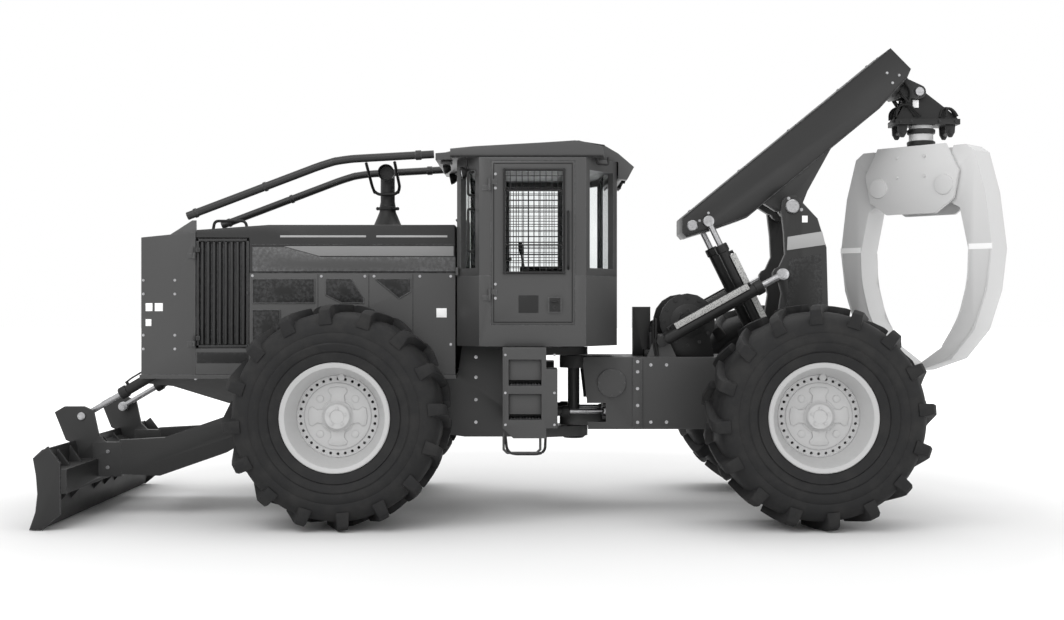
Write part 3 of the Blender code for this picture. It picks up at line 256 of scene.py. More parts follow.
def disc(name, centre, radius, depth, axis=(0, 1, 0), sides=24, edge=0.0):
    """A short round boss standing on a point along its axis."""
    axis = Vector(axis).normalized()
    deselect()
    bpy.ops.mesh.primitive_cylinder_add(vertices=sides, radius=radius, depth=depth,
                                        location=Vector(centre) + axis * depth / 2,
                                        rotation=axis.to_track_quat("Z", "Y").to_euler())
    obj = settle(named(name))
    return rounded(obj, edge) if edge else smooth(obj)


def bolts(name, places, radius, depth, axis=(0, 1, 0)):
    """Hexagon heads with washers at a list of places, as one mesh."""
    heads = []
    for place in places:
        washer = disc("washer", place, radius * 1.35, depth * 0.3, axis, 16)
        head = disc("head", Vector(place) + Vector(axis).normalized() * depth * 0.3, radius,
                    depth * 0.7, axis, 6)
        heads += [washer, head]
    return merged(name, heads)


def merged(name, objects):
    """Join finished meshes into one piece."""
    pick(*objects)
    if len(objects) > 1:
        bpy.ops.object.join()
    return named(name)


def copied(obj, name, shift=(0, 0, 0), flip_y=False):
    """A copy with its own mesh, moved, or reflected to the other side."""
    pick(obj)
    bpy.ops.object.duplicate(linked=False)
    twin = named(name)
    twin.location = shift
    if flip_y:
        twin.scale = (1, -1, 1)
    settle(twin)
    if flip_y:
        edit_all(twin, face_out)
    return twin


def finish_piece(obj, body, finish, *replaced):
    """Give a piece its material, its body and the solids that it stands for."""
    obj.data.materials.clear()
    obj.data.materials.append(FINISHES[finish])
    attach(obj, body)
    if replaced:
        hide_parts(*replaced)
    return obj


def refined(node, name, width):
    """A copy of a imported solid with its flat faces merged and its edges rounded."""
    deselect()
    source = NODES[node]
    copy = source.copy()
    copy.data = source.data.copy()
    for key in list(copy.keys()):
        del copy[key]
    copy.parent = None
    copy.name = name
    copy.hide_render = False
    bpy.context.scene.collection.objects.link(copy)
    edit_all(copy, lambda: bpy.ops.mesh.remove_doubles(threshold=1e-5),
             lambda: bpy.ops.mesh.dissolve_limited(angle_limit=math.radians(0.5)))
    return rounded(copy, width) if width else smooth(copy)


# ---- shader groups shared by the finishes ---------------------------------------------
def new_group(name, inputs, outputs):
    tree = bpy.data.node_groups.new(name, "ShaderNodeTree")
    for label, kind, value in inputs:
        socket = tree.interface.new_socket(label, in_out="INPUT", socket_type="NodeSocket" + kind)
        socket.default_value = value
    for label, kind in outputs:
        tree.interface.new_socket(label, in_out="OUTPUT", socket_type="NodeSocket" + kind)
    return tree, tree.nodes.new("NodeGroupInput"), tree.nodes.new("NodeGroupOutput")


def node(tree, kind, links=(), **values):
    """Add a node; values set its properties or inputs, links join outputs to its inputs."""
    made = tree.nodes.new("ShaderNode" + kind)
    for key, value in values.items():
        if hasattr(made, key):
            setattr(made, key, value)
        else:
            made.inputs[key.replace("_", " ")].default_value = value
    for target, source in links:
        tree.links.new(source, made.inputs[target])
    return made


def ramp(tree, source, low, high, to_low=0.0, to_high=1.0):
    return node(tree, "MapRange", [("Value", source)], From_Min=low, From_Max=high, To_Min=to_low,
                To_Max=to_high).outputs["Result"]


def mix(tree, factor, first, second, blend="MIX"):
    """A colour mix; each argument is an output socket or a plain value."""
    made = tree.nodes.new("ShaderNodeMix")
    made.data_type = "RGBA"
    made.blend_type = blend
    for index, value in ((0, factor), (6, first), (7, second)):
        if isinstance(value, bpy.types.NodeSocket):
            tree.links.new(value, made.inputs[index])
        else:
            made.inputs[index].default_value = value
    return made.outputs[2]


def coat_group():
    """Sprayed paint: soft colour drift, dust on upward faces, rubbed edges, orange peel."""
    tree, inside, out = new_group(
        "Sprayed coat",
        [("Color", "Color", (0.1, 0.1, 0.1, 1)), ("Wear", "Float", 0.2), ("Dust", "Float", 0.15),
         ("Roughness", "Float", 0.4)],
        [("Color", "Color"), ("Roughness", "Float"), ("Height", "Float")])
    place = node(tree, "TexCoord").outputs["Object"]
    drift = node(tree, "TexNoise", [("Vector", place)], Scale=1.7, Detail=4.0,
                 Roughness=0.6).outputs["Fac"]
    speck = node(tree, "TexNoise", [("Vector", place)], Scale=38.0, Detail=6.0,
                 Roughness=0.7).outputs["Fac"]
    peel = node(tree, "TexNoise", [("Vector", place)], Scale=420.0, Detail=2.0).outputs["Fac"]
    shape = node(tree, "NewGeometry")
    soft = node(tree, "Bevel", Radius=0.012, samples=4).outputs["Normal"]
    turn = node(tree, "VectorMath", [(0, soft), (1, shape.outputs["Normal"])],
                operation="DOT_PRODUCT").outputs["Value"]
    edge = ramp(tree, turn, 0.985, 0.90)
    broken = node(tree, "Math", [(0, edge), (1, ramp(tree, speck, 0.42, 0.62))],
                  operation="MULTIPLY").outputs[0]
    rubbed = node(tree, "Math", [(0, broken), (1, inside.outputs["Wear"])],
                  operation="MULTIPLY").outputs[0]
    up = node(tree, "SeparateXYZ", [(0, shape.outputs["Normal"])]).outputs["Z"]
    settled = node(tree, "Math", [(0, ramp(tree, up, 0.2, 1.0)), (1, ramp(tree, speck, 0.35, 0.75))],
                   operation="MULTIPLY").outputs[0]
    dusty = node(tree, "Math", [(0, settled), (1, inside.outputs["Dust"])],
                 operation="MULTIPLY").outputs[0]
    base = mix(tree, ramp(tree, drift, 0.3, 0.7, 0.0, 0.12), inside.outputs["Color"],
               (0.5, 0.5, 0.5, 1), "SOFT_LIGHT")
    worn = mix(tree, rubbed, base, (0.30, 0.30, 0.31, 1))
    tree.links.new(mix(tree, dusty, worn, (0.15, 0.145, 0.14, 1)), out.inputs["Color"])
    rough = node(tree, "Math",
                 [(0, inside.outputs["Roughness"]), (1, ramp(tree, drift, 0.3, 0.7, -0.05, 0.07))],
                 operation="ADD").outputs[0]
    rough = node(tree, "Math", [(0, rough), (1, dusty)], operation="ADD").outputs[0]
    tree.links.new(rough, out.inputs["Roughness"])
    tree.links.new(peel, out.inputs["Height"])
    return tree


def moulded_group():
    """Moulded rubber or plastic: fine grain, scuffs and a pale bloom in patches."""
    tree, inside, out = new_group(
        "Moulded grain",
        [("Color", "Color", (0.03, 0.03, 0.03, 1)), ("Bloom", "Float", 0.3), ("Grain", "Float", 220.0)],
        [("Color", "Color"), ("Roughness", "Float"), ("Height", "Float")])
    place = node(tree, "TexCoord").outputs["Object"]
    patch = node(tree, "TexNoise", [("Vector", place)], Scale=5.0, Detail=5.0,
                 Roughness=0.65).outputs["Fac"]
    grain = node(tree, "TexNoise", [("Vector", place), ("Scale", inside.outputs["Grain"])],
                 Detail=3.0).outputs["Fac"]
    amount = node(tree, "Math", [(0, ramp(tree, patch, 0.45, 0.75)), (1, inside.outputs["Bloom"])],
                  operation="MULTIPLY").outputs[0]
    tree.links.new(mix(tree, amount, inside.outputs["Color"], (0.06, 0.058, 0.055, 1)),
                   out.inputs["Color"])
    tree.links.new(ramp(tree, patch, 0.3, 0.75, 0.55, 0.8), out.inputs["Roughness"])
    tree.links.new(grain, out.inputs["Height"])
    return tree


def material(name):
    made = bpy.data.materials.new("skidder_" + name)
    made.use_nodes = True
    FINISHES[name] = made
    return made.node_tree, made.node_tree.nodes["Principled BSDF"]


def grouped(tree, shader, group, bump, distance, **values):
    """Place a group in a material and join what it puts out to the shader."""
    made = tree.nodes.new("ShaderNodeGroup")
    made.node_tree = group
    for key, value in values.items():
        made.inputs[key].default_value = value
    tree.links.new(made.outputs["Color"], shader.inputs["Base Color"])
    tree.links.new(made.outputs["Roughness"], shader.inputs["Roughness"])
    relief = node(tree, "Bump", [("Height", made.outputs["Height"])], Strength=bump, Distance=distance)
    tree.links.new(relief.outputs["Normal"], shader.inputs["Normal"])
    return made


def add_paint(name, colour, group, roughness=0.4, dust=0.12, wear=None, coat=0.06):
    tree, shader = material(name)
    grouped(tree, shader, group, 0.12, 0.0006, Color=(*colour, 1), Dust=dust, Roughness=roughness,
            Wear=settings("paint").wear if wear is None else wear)
    shader.inputs["Specular IOR Level"].default_value = 0.35
    shader.inputs["Coat Weight"].default_value = coat
    shader.inputs["Coat Roughness"].default_value = 0.25


def add_moulded(name, colour, group, bloom=0.3, grain=220.0, bump=0.25):
    tree, shader = material(name)
    grouped(tree, shader, group, bump, 0.001, Color=(*colour, 1), Bloom=bloom, Grain=grain)
    shader.inputs["Specular IOR Level"].default_value = 0.25


def add_steel(name, colour, roughness, stretch):
    """Ground or drawn steel with fine lines along one direction."""
    tree, shader = material(name)
    place = node(tree, "TexCoord").outputs["Object"]
    drawn = node(tree, "Mapping", [("Vector", place)], Scale=stretch)
    lines = node(tree, "TexNoise", [("Vector", drawn.outputs["Vector"])], Scale=60.0,
                 Detail=3.0).outputs["Fac"]
    tree.links.new(mix(tree, ramp(tree, lines, 0.3, 0.7, 0.0, 0.4), (*colour, 1),
                       (0.12, 0.12, 0.12, 1)), shader.inputs["Base Color"])
    tree.links.new(ramp(tree, lines, 0.3, 0.7, roughness - 0.06, roughness + 0.1),
                   shader.inputs["Roughness"])
    shader.inputs["Metallic"].default_value = 0.9


def add_speckled(name, light, dark):
    """Anti-slip or perforated strip: dense small dark holes on a pale ground."""
    tree, shader = material(name)
    place = node(tree, "TexCoord").outputs["Object"]
    cells = node(tree, "TexVoronoi", [("Vector", place)], Scale=95.0).outputs["Distance"]
    dots = ramp(tree, cells, 0.32, 0.38)
    tree.links.new(mix(tree, dots, (*dark, 1), (*light, 1)), shader.inputs["Base Color"])
    relief = node(tree, "Bump", [("Height", dots)], Strength=0.5, Distance=0.002)
    tree.links.new(relief.outputs["Normal"], shader.inputs["Normal"])
    shader.inputs["Roughness"].default_value = 0.55


def add_cloth():
    tree, shader = material("cloth")
    place = node(tree, "TexCoord").outputs["Object"]
    across = node(tree, "TexWave", [("Vector", place)], Scale=90.0, bands_direction="X").outputs["Fac"]
    along = node(tree, "TexWave", [("Vector", place)], Scale=90.0, bands_direction="Z").outputs["Fac"]
    weave = node(tree, "Math", [(0, across), (1, along)], operation="MAXIMUM").outputs[0]
    tree.links.new(mix(tree, ramp(tree, weave, 0.4, 1.0), (0.012, 0.012, 0.013, 1),
                       (0.05, 0.05, 0.052, 1)), shader.inputs["Base Color"])
    relief = node(tree, "Bump", [("Height", weave)], Strength=0.4, Distance=0.001)
    tree.links.new(relief.outputs["Normal"], shader.inputs["Normal"])
    shader.inputs["Roughness"].default_value = 0.9
    shader.inputs["Sheen Weight"].default_value = 0.3


def add_glass():
    tree, shader = material("glass")
    place = node(tree, "TexCoord").outputs["Object"]
    film = node(tree, "TexNoise", [("Vector", place)], Scale=3.0, Detail=5.0).outputs["Fac"]
    tree.links.new(mix(tree, ramp(tree, film, 0.3, 0.8), (0.98, 0.99, 0.99, 1), (0.86, 0.88, 0.88, 1)),
                   shader.inputs["Base Color"])
    tree.links.new(ramp(tree, film, 0.3, 0.8, 0.01, 0.06), shader.inputs["Roughness"])
    shader.inputs["Transmission Weight"].default_value = 1.0
    shader.inputs["IOR"].default_value = 1.04
    tree, shader = material("lamp")
    place = node(tree, "TexCoord").outputs["Object"]
    ribs = node(tree, "TexWave", [("Vector", place)], Scale=30.0, bands_direction="Z").outputs["Fac"]
    tree.links.new(mix(tree, ribs, (0.75, 0.76, 0.78, 1), (0.35, 0.36, 0.38, 1)),
                   shader.inputs["Base Color"])
    shader.inputs["Roughness"].default_value = 0.12
    shader.inputs["Metallic"].default_value = 0.4


class SKIDDER_OT_finishes(bpy.types.Operator):
    """Build the paints, rubber, steel, cloth and glass"""
    bl_idname = "skidder.finishes"
    bl_label = "Finishes"

    def execute(self, context):
        colours = settings("paint")
        coat, moulded = coat_group(), moulded_group()
        add_paint("body", colours.body, coat)
        add_paint("dark", colours.dark, coat, 0.42)
        add_paint("silver", colours.silver, coat, 0.35, 0.05)
        add_paint("band", (0.34, 0.34, 0.34), coat, 0.4, 0.05)
        add_paint("grapple", colours.grapple, coat, 0.45, 0.08)
        add_paint("white", (0.9, 0.9, 0.9), coat, 0.4, 0.0, 0.0)
        add_paint("wheel", colours.wheel, coat, 0.45, 0.1)
        add_paint("cast", (0.014, 0.014, 0.015), coat, 0.6, 0.2)
        add_paint("black", (0.008, 0.008, 0.008), coat, 0.5, 0.1, 0.1)
        add_paint("screen", (0.006, 0.006, 0.006), coat, 0.6, 0.1, 0.1)
        add_moulded("tyre", (0.012, 0.012, 0.0125), moulded, 0.3, 260.0, 0.35)
        add_moulded("rubber", (0.02, 0.02, 0.02), moulded, 0.2, 400.0, 0.2)
        add_moulded("hose", (0.014, 0.014, 0.014), moulded, 0.1, 500.0, 0.15)
        add_steel("steel", (0.45, 0.45, 0.46), 0.3, (1, 1, 1))
        add_steel("cable", (0.16, 0.155, 0.15), 0.5, (1, 0.2, 1))
        add_speckled("guard", (0.42, 0.42, 0.41), (0.14, 0.14, 0.14))
        add_cloth()
        add_glass()
        return {"FINISHED"}


# ---- wheels ---------------------------------------------------------------------------
WHEELS = [(end, side) for end in ("front", "rear") for side in ("left", "right")]
CARCASS = [
    (0.440, 0.290), (0.452, 0.322), (0.456, 0.342), (0.475, 0.350), (0.530, 0.362), (0.537, 0.355),
    (0.552, 0.368), (0.600, 0.378), (0.613, 0.372), (0.628, 0.381), (0.680, 0.384), (0.693, 0.377),
    (0.708, 0.383), (0.760, 0.374), (0.805, 0.352), (0.840, 0.305), (0.858, 0.200), (0.864, 0.080)]
# Tread bar, from the middle out: distance across, inner and outer radius, lean and half width.
LUG_ROWS = [(-0.030, 0.850, 0.924, 0.00, 0.026), (0.110, 0.848, 0.924, 0.38, 0.030),
            (0.250, 0.830, 0.922, 0.70, 0.035), (0.340, 0.790, 0.912, 0.88, 0.041),
            (0.3835, 0.760, 0.880, 0.96, 0.043)]
RIM_FLANGE = [
    (0.338, 0.130), (0.345, 0.150), (0.385, 0.260), (0.395, 0.300), (0.408, 0.335), (0.430, 0.346),
    (0.443, 0.350), (0.450, 0.342), (0.450, 0.328), (0.440, 0.318), (0.424, 0.314), (0.410, 0.302),
    (0.406, 0.270)]
DISC_FACE = [(0.346, 0.112), (0.344, 0.130), (0.336, 0.138), (0.330, 0.138), (0.326, 0.132),
             (0.280, 0.132), (0.272, 0.140), (0.252, 0.143), (0.150, 0.134), (0.140, 0.140),
             (0.126, 0.140)]
DISC_BACK = 0.105
HUB_FACE = 0.196
RIM_HOLES, RIM_HOLE_CIRCLE = 32, 0.309
WINDOWS = 4                                # round bosses between the cast arms


def lofted(name, rings, edge=0.0):
    """Bridge a row of closed rings and cap the two ends."""
    lines = []
    for ring in rings:
        line = polyline([*ring, ring[0]])
        bpy.ops.mesh.select_all(action="SELECT")
        bpy.ops.mesh.remove_doubles(threshold=1e-6)
        bpy.ops.object.mode_set(mode="OBJECT")
        lines.append(line)
    obj = edit_all(merged(name, lines), bpy.ops.mesh.bridge_edge_loops)
    pick(obj)
    bpy.ops.object.mode_set(mode="EDIT")
    bpy.ops.mesh.select_all(action="DESELECT")
    bpy.ops.mesh.select_non_manifold()
    bpy.ops.mesh.fill_holes(sides=0)
    bpy.ops.mesh.select_all(action="SELECT")
    face_out()
    bpy.ops.object.mode_set(mode="OBJECT")
    return rounded(obj, edge) if edge else smooth(obj)


def ring_of(obj, count, centre, axis=(0, 1, 0)):
    """Repeat a piece evenly round an axis line."""
    pick(obj)
    bpy.ops.object.mode_set(mode="EDIT")
    bpy.ops.mesh.select_all(action="SELECT")
    bpy.ops.mesh.spin(steps=count - 1, dupli=True, angle=math.tau * (count - 1) / count, center=centre,
                      axis=axis)
    bpy.ops.object.mode_set(mode="OBJECT")
    return obj


def make_lug(s):
    pitch = math.tau / settings("tyre").lugs
    rings = []
    for across, inner, outer, lean, width in LUG_ROWS:
        ring = []
        for side, radius, flare in ((-1, inner, 1.3), (-1, outer, 1.0), (1, outer, 1.0),
                                    (1, inner, 1.3)):
            angle = math.pi / 2 + pitch * (0.5 * lean + (0.25
                                                         if s > 0 else -0.25)) + side * width * flare / radius
            ring.append((radius * math.cos(angle), s * across, radius * math.sin(angle)))
        rings.append(ring)
    return lofted("lug", rings, 0.007)


def make_tyre():
    """Carcass with moulded rings, and staggered chevron bars on both halves of the tread."""
    profile = CARCASS + [(r, -y) for r, y in reversed(CARCASS)]
    pieces = [turn_profile("carcass", profile, (0, 0, 0), 96, closed=True)]
    pieces += [ring_of(make_lug(s), settings("tyre").lugs, (0, 0, 0)) for s in (-1, 1)]
    return smooth(merged("tyre_pattern", pieces), 40)


def turned_out(name, loop, steps=96):
    """Turn a closed section about the wheel's axle, its offsets counted outwards to -Y."""
    return turn_profile(name, [(radius, -out) for radius, out in loop], (0, 0, 0), steps, closed=True)


def drilled(obj, drill):
    pick(obj)
    cut = obj.modifiers.new("Drill", "BOOLEAN")
    cut.object = drill
    bpy.ops.object.modifier_apply(modifier=cut.name)
    bpy.data.objects.remove(drill)
    return smooth(obj, 30)


def make_rim():
    """Rim with rolled flanges, drilled disc, cast arms, hub cap, bolts and valve, facing -Y."""
    rim = turned_out("rim", RIM_FLANGE + [(r, -y) for r, y in reversed(RIM_FLANGE)])
    face = turned_out("disc", DISC_FACE + [(0.126, DISC_BACK), (0.346, DISC_BACK)])
    drill = disc("drill", (RIM_HOLE_CIRCLE, -0.2, 0), 0.0125, 0.25, sides=12)
    drilled(face, ring_of(drill, RIM_HOLES, (0, 0, 0)))
    cap = turned_out("cap", [(0.0, 0.110), (0.128, 0.110), (0.128, 0.152), (0.116, 0.160),
                             (0.107, 0.176), (0.106, HUB_FACE - 0.008), (0.098, HUB_FACE),
                             (0.060, HUB_FACE), (0.056, HUB_FACE - 0.005), (0.0, HUB_FACE - 0.005)], 48)
    arm_outline = [(0.10, -0.062), (0.17, -0.052), (0.205, -0.080), (0.235, -0.070), (0.245, 0.0),
                   (0.235, 0.070), (0.205, 0.080), (0.17, 0.052), (0.10, 0.062)]
    arm = plate("arm", arm_outline, -0.130, -0.150, edge=0.006)
    ring_of(arm, WINDOWS, (0, 0, 0))
    boss = disc("boss", (0.205 * math.cos(math.pi / 4), -0.130, 0.205 * math.sin(math.pi / 4)), 0.030,
                0.016, (0, -1, 0), 24, 0.004)
    ring_of(boss, WINDOWS, (0, 0, 0))
    head = ring_of(bolts("cap_bolt", [(0, -HUB_FACE + 0.002, 0.070)], 0.011, 0.012, (0, -1, 0)), 5,
                   (0, 0, 0))
    valve = disc("valve", (0.03, -0.13, 0.322), 0.030, 0.028, (0, -1, 0), 20, 0.008)
    return merged("rim_pattern", [rim, face, cap, arm, boss, head, valve])


class SKIDDER_OT_wheels(bpy.types.Operator):
    """Model one tyre and one rim, and set a copy at each hub"""
    bl_idname = "skidder.wheels"
    bl_label = "Wheels"

    def execute(self, context):
        for kind, pattern, finish in (("tyre", make_tyre(), "tyre"), ("rim", make_rim(), "wheel")):
            for end, side in WHEELS:
                centre = joint_at(f"{end}_wheel_{side}")
                piece = copied(pattern, f"{end}_{kind}_{side}_fine", centre, side == "right")
                finish_piece(piece, f"{end}_wheel_{side}", finish, f"{end}_{kind}_{side}")
            bpy.data.objects.remove(pattern)
        return {"FINISHED"}


# ---- sheet metal carried over from the solids ----------------------------------------------
PANELS = [("front_frame", "body", 0.008), ("radiator_housing", "body", 0.010), ("hood", "dark", 0.012),
          ("side_panel_left", "body", 0.004), ("side_panel_right", "body", 0.004),
          ("engine_block", "cast", 0.02), ("cab_tub", "body", 0.010), ("cab_frame", "body", 0.008),
          ("cab_roof", "body", 0.020), ("cab_door_left", "body", 0.006),
          ("cab_door_right", "body", 0.006), ("steps_left", "body", 0.005),
          ("steps_right", "body", 0.005), ("blade", "dark", 0.006), ("rear_frame", "body", 0.008),
          ("winch_housing", "black", 0.010), ("arch", "dark", 0.008), ("boom", "dark", 0.008),
          ("grapple_yoke", "black", 0.008), ("grapple_head", "grapple", 0.006),
          ("tong_near", "grapple", 0.008), ("tong_far", "grapple", 0.008),
          ("front_axle", "cast", 0.006), ("rear_axle", "cast", 0.006), ("windshield", "glass", 0.0),
          ("rear_window", "glass", 0.0), ("door_glass_left", "glass", 0.0),
          ("door_glass_right", "glass", 0.0),]


def ride_of(node_name):
    return NODES[node_name]["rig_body"]


class SKIDDER_OT_panels(bpy.types.Operator):
    """Merge and round the plates, castings and glass that keep the solids' shape"""
    bl_idname = "skidder.panels"
    bl_label = "Plates and castings"

    def execute(self, context):
        for node_name, finish, width in PANELS:
            piece = refined(node_name, node_name + "_fine", width)
            finish_piece(piece, ride_of(node_name), finish, node_name)
        return {"FINISHED"}


# ---- front: grille, louvre doors, panels, hood, exhaust and risers --------------------------
BAY = 0.70                                 # half width of the hood and radiator housing
HOUSING_FRONT = -3.4145
GRILLE_Z = (1.310, 2.381)
DOOR_SPAN = (-2.933, -2.472)
DOOR_HEIGHT = (1.471, 2.423)
SEAM_Z = 2.126
HOOD_END = -0.669
STRIPE = [(-2.17, 2.358), (-1.86, 2.272), (-0.685, 2.272), (-0.685, 2.358)]
RISER_Y, RISER_R = 0.66, 0.035
RISER_LINE = [(-3.02, 2.622), (-1.80, 3.085), (-1.66, 3.12), (-0.86, 3.165)]
EXHAUST_X = -1.335


def both(piece, name):
    """The piece and its reflection on the machine's other side."""
    return merged(name, [piece, copied(piece, "other", flip_y=True)])


def flat(name, low, high, s_out, edge=0.002):
    """A thin plate on the -Y face: corners as x, z, and its near and far y."""
    return block(name, (low[0], s_out[0], low[1]), (high[0], s_out[1], high[1]), edge)


def rail(name, points, radius=0.012, bend=0.03):
    return pipe(name, points, radius, bend)


class SKIDDER_OT_grille(bpy.types.Operator):
    """Front grille in three segments of upright bars inside a rounded frame"""
    bl_idname = "skidder.grille"
    bl_label = "Front grille"

    def execute(self, context):
        x0, x1 = HOUSING_FRONT - 0.042, HOUSING_FRONT - 0.001
        low, high = GRILLE_Z
        half = 0.459
        pieces = [block("side", (x0, s * half - 0.02 * (s + 1), low),
                        (x1, s * half - 0.02 * (s - 1), high), 0.008) for s in (-1, 1)]
        third = (high - low) / 3
        for i in range(4):
            z = min(max(low + i * third, low + 0.02), high - 0.02)
            pieces.append(block("rail", (x0, -half, z - 0.02), (x1, half, z + 0.02), 0.008))
        bar = block("bar", (x0 + 0.008, -half + 0.035, low + 0.01),
                    (x0 + 0.022, -half + 0.045, high - 0.01), 0.003)
        bars = [bar] + [copied(bar, "bar", (0, i * 0.0237, 0)) for i in range(1, 36)]
        grille = merged("grille_bars", pieces + bars)
        finish_piece(grille, "front_grille", "dark", "front_grille")
        core = block("radiator_core", (x1 - 0.012, -half + 0.02, low + 0.02),
                     (x1 - 0.006, half - 0.02, high - 0.02), 0.002)
        finish_piece(core, "front_grille", "screen")
        knuckles = [disc("knuckle", (x0 + 0.001, -half - 0.014, z), 0.013, 0.045, (0, 0, 1), 16, 0.003)
                    for z in (1.45, 1.62, 2.02, 2.15)]
        finish_piece(merged("grille_knuckles", knuckles), "front_grille", "body")
        return {"FINISHED"}


def louvre_door():
    """One side door facing -Y: a frame round upright corrugations, and its latch."""
    (x0, x1), (z0, z1) = DOOR_SPAN, DOOR_HEIGHT
    y = -BAY
    frame_bars = [flat("left", (x0, z0), (x0 + 0.022, z1), (y, y + 0.04)),
                  flat("right", (x1 - 0.022, z0), (x1, z1), (y, y + 0.04)),
                  flat("low", (x0, z0), (x1, z0 + 0.022), (y, y + 0.04)),
                  flat("high", (x0, z1 - 0.022), (x1, z1), (y, y + 0.04)),
                  flat("back", (x0 + 0.01, z0 + 0.01), (x1 - 0.01, z1 - 0.01), (y + 0.032, y + 0.039))]
    count = settings("trim").louvres
    pitch = (x1 - x0 - 0.05) / count
    fold = [(x0 + 0.026 + pitch * 0.10, y + 0.032), (x0 + 0.026 + pitch * 0.30, y + 0.003),
            (x0 + 0.026 + pitch * 0.66, y + 0.003), (x0 + 0.026 + pitch * 0.86, y + 0.032)]
    first = plate("fold", fold, z0 + 0.028, z1 - 0.028, "z", 0.004)
    folds = [first] + [copied(first, "fold", (pitch * i, 0, 0)) for i in range(1, count)]
    latch = disc("latch", (x1 - 0.010, y + 0.002, 1.95), 0.009, 0.010, (0, -1, 0), 16, 0.002)
    knuckles = [disc("knuckle", (x0 - 0.012, y - 0.012, z), 0.013, 0.05, (0, 0, 1), 16, 0.003)
                for z in (1.53, 2.30)]
    leaves = [block("leaf", (x0 - 0.012, y - 0.016, z + 0.005), (x0 + 0.035, y - 0.0005, z + 0.045),
                    0.003) for z in (1.53, 2.30)]
    return merged("louvre_door", frame_bars + folds + [latch] + knuckles + leaves)


class SKIDDER_OT_louvre_doors(bpy.types.Operator):
    """Corrugated cooling-air doors on both sides of the engine bay"""
    bl_idname = "skidder.louvre_doors"
    bl_label = "Louvre doors"

    def execute(self, context):
        door = louvre_door()
        for side, flip in (("left", False), ("right", True)):
            piece = copied(door, f"louvre_door_{side}", flip_y=flip)
            finish_piece(piece, f"grille_door_{side}", "dark", f"grille_door_{side}")
        bpy.data.objects.remove(door)
        return {"FINISHED"}


def screen_panel(outline, y):
    """Perforated insert: a sunk plain field inside a raised rim; its small slots are not modelled."""
    field = plate("field", outline, y - 0.003, y - 0.0005, edge=0.001)
    rim_pieces = []
    for (xa, za), (xb, zb) in zip(outline, outline[1:] + outline[:1]):
        rim_pieces.append(pipe("rim", [(xa, y - 0.003, za), (xb, y - 0.003, zb)], 0.005, sides=2))
    return field, merged("screen_rim", rim_pieces)


class SKIDDER_OT_side_trim(bpy.types.Operator):
    """Screens, seams, bolts and blank plates on the engine bay's sides"""
    bl_idname = "skidder.side_trim"
    bl_label = "Engine side trim"

    def execute(self, context):
        y = -BAY
        rectangle = [(-2.44, 1.86), (-1.90, 1.86), (-1.90, 2.07), (-2.44, 2.07)]
        low_field = [(-2.44, 1.50), (-2.20, 1.50), (-2.20, 1.80), (-2.44, 1.80)]
        slope = [(-1.80, 2.07), (-1.80, 1.93), (-1.66, 1.86), (-1.47, 1.86), (-1.47, 1.90),
                 (-1.58, 2.07)]
        wedge = [(-1.37, 2.07), (-1.06, 2.07), (-1.06, 1.96), (-1.16, 1.90)]
        fields, rims = zip(*[screen_panel(outline, y)
                             for outline in (rectangle, low_field, slope, wedge)])
        finish_piece(both(merged("screen_fields", list(fields)), "bay_screens"), "root", "screen")
        finish_piece(both(merged("screen_rims", list(rims)), "bay_screen_rims"), "root", "body")
        seams = [flat("seam", (x - 0.003, 1.30), (x + 0.003, SEAM_Z - 0.01), (y - 0.0012, y + 0.001),
                      0.0004) for x in (-1.87, -1.425, -1.04)]
        seams.append(flat("seam", (DOOR_SPAN[1] + 0.004, SEAM_Z - 0.004), (HOOD_END, SEAM_Z + 0.004),
                          (y - 0.0012, y + 0.001), 0.0004))
        seams.append(flat("fold", (DOOR_SPAN[0] + 0.004, 1.335), (DOOR_SPAN[1] - 0.004, 1.43),
                          (y - 0.003, y + 0.001), 0.002))
        finish_piece(both(merged("seams", seams), "bay_seams"), "root", "screen")
        plates = [flat("plate", (x0, z0), (x1, z1), (y - 0.003, y + 0.001), 0.001)
                  for x0, x1, z0, z1 in ((-3.375, -3.315, 1.79, 1.86), (-3.295, -3.225, 1.79, 1.86),
                                         (-3.375, -3.325, 1.66, 1.72), (-0.835, -0.745, 1.735, 1.815))]
        finish_piece(merged("blank_plates", plates), "root", "white")
        places = [(x, y, z) for x in (-3.395, -3.12) for z in (1.46, 1.94, 2.06, 1.58)]
        places += [(x, y, z) for x in (-1.84, -1.46, -1.38, -0.98, -0.71) for z in (1.50, 2.095)]
        places += [(DOOR_SPAN[1] + 0.03, y, z) for z in (1.45, 2.10)]
        finish_piece(both(bolts("bolts", places, 0.009, 0.007, (0, -1, 0)), "bay_bolts"), "root",
                     "steel")
        return {"FINISHED"}


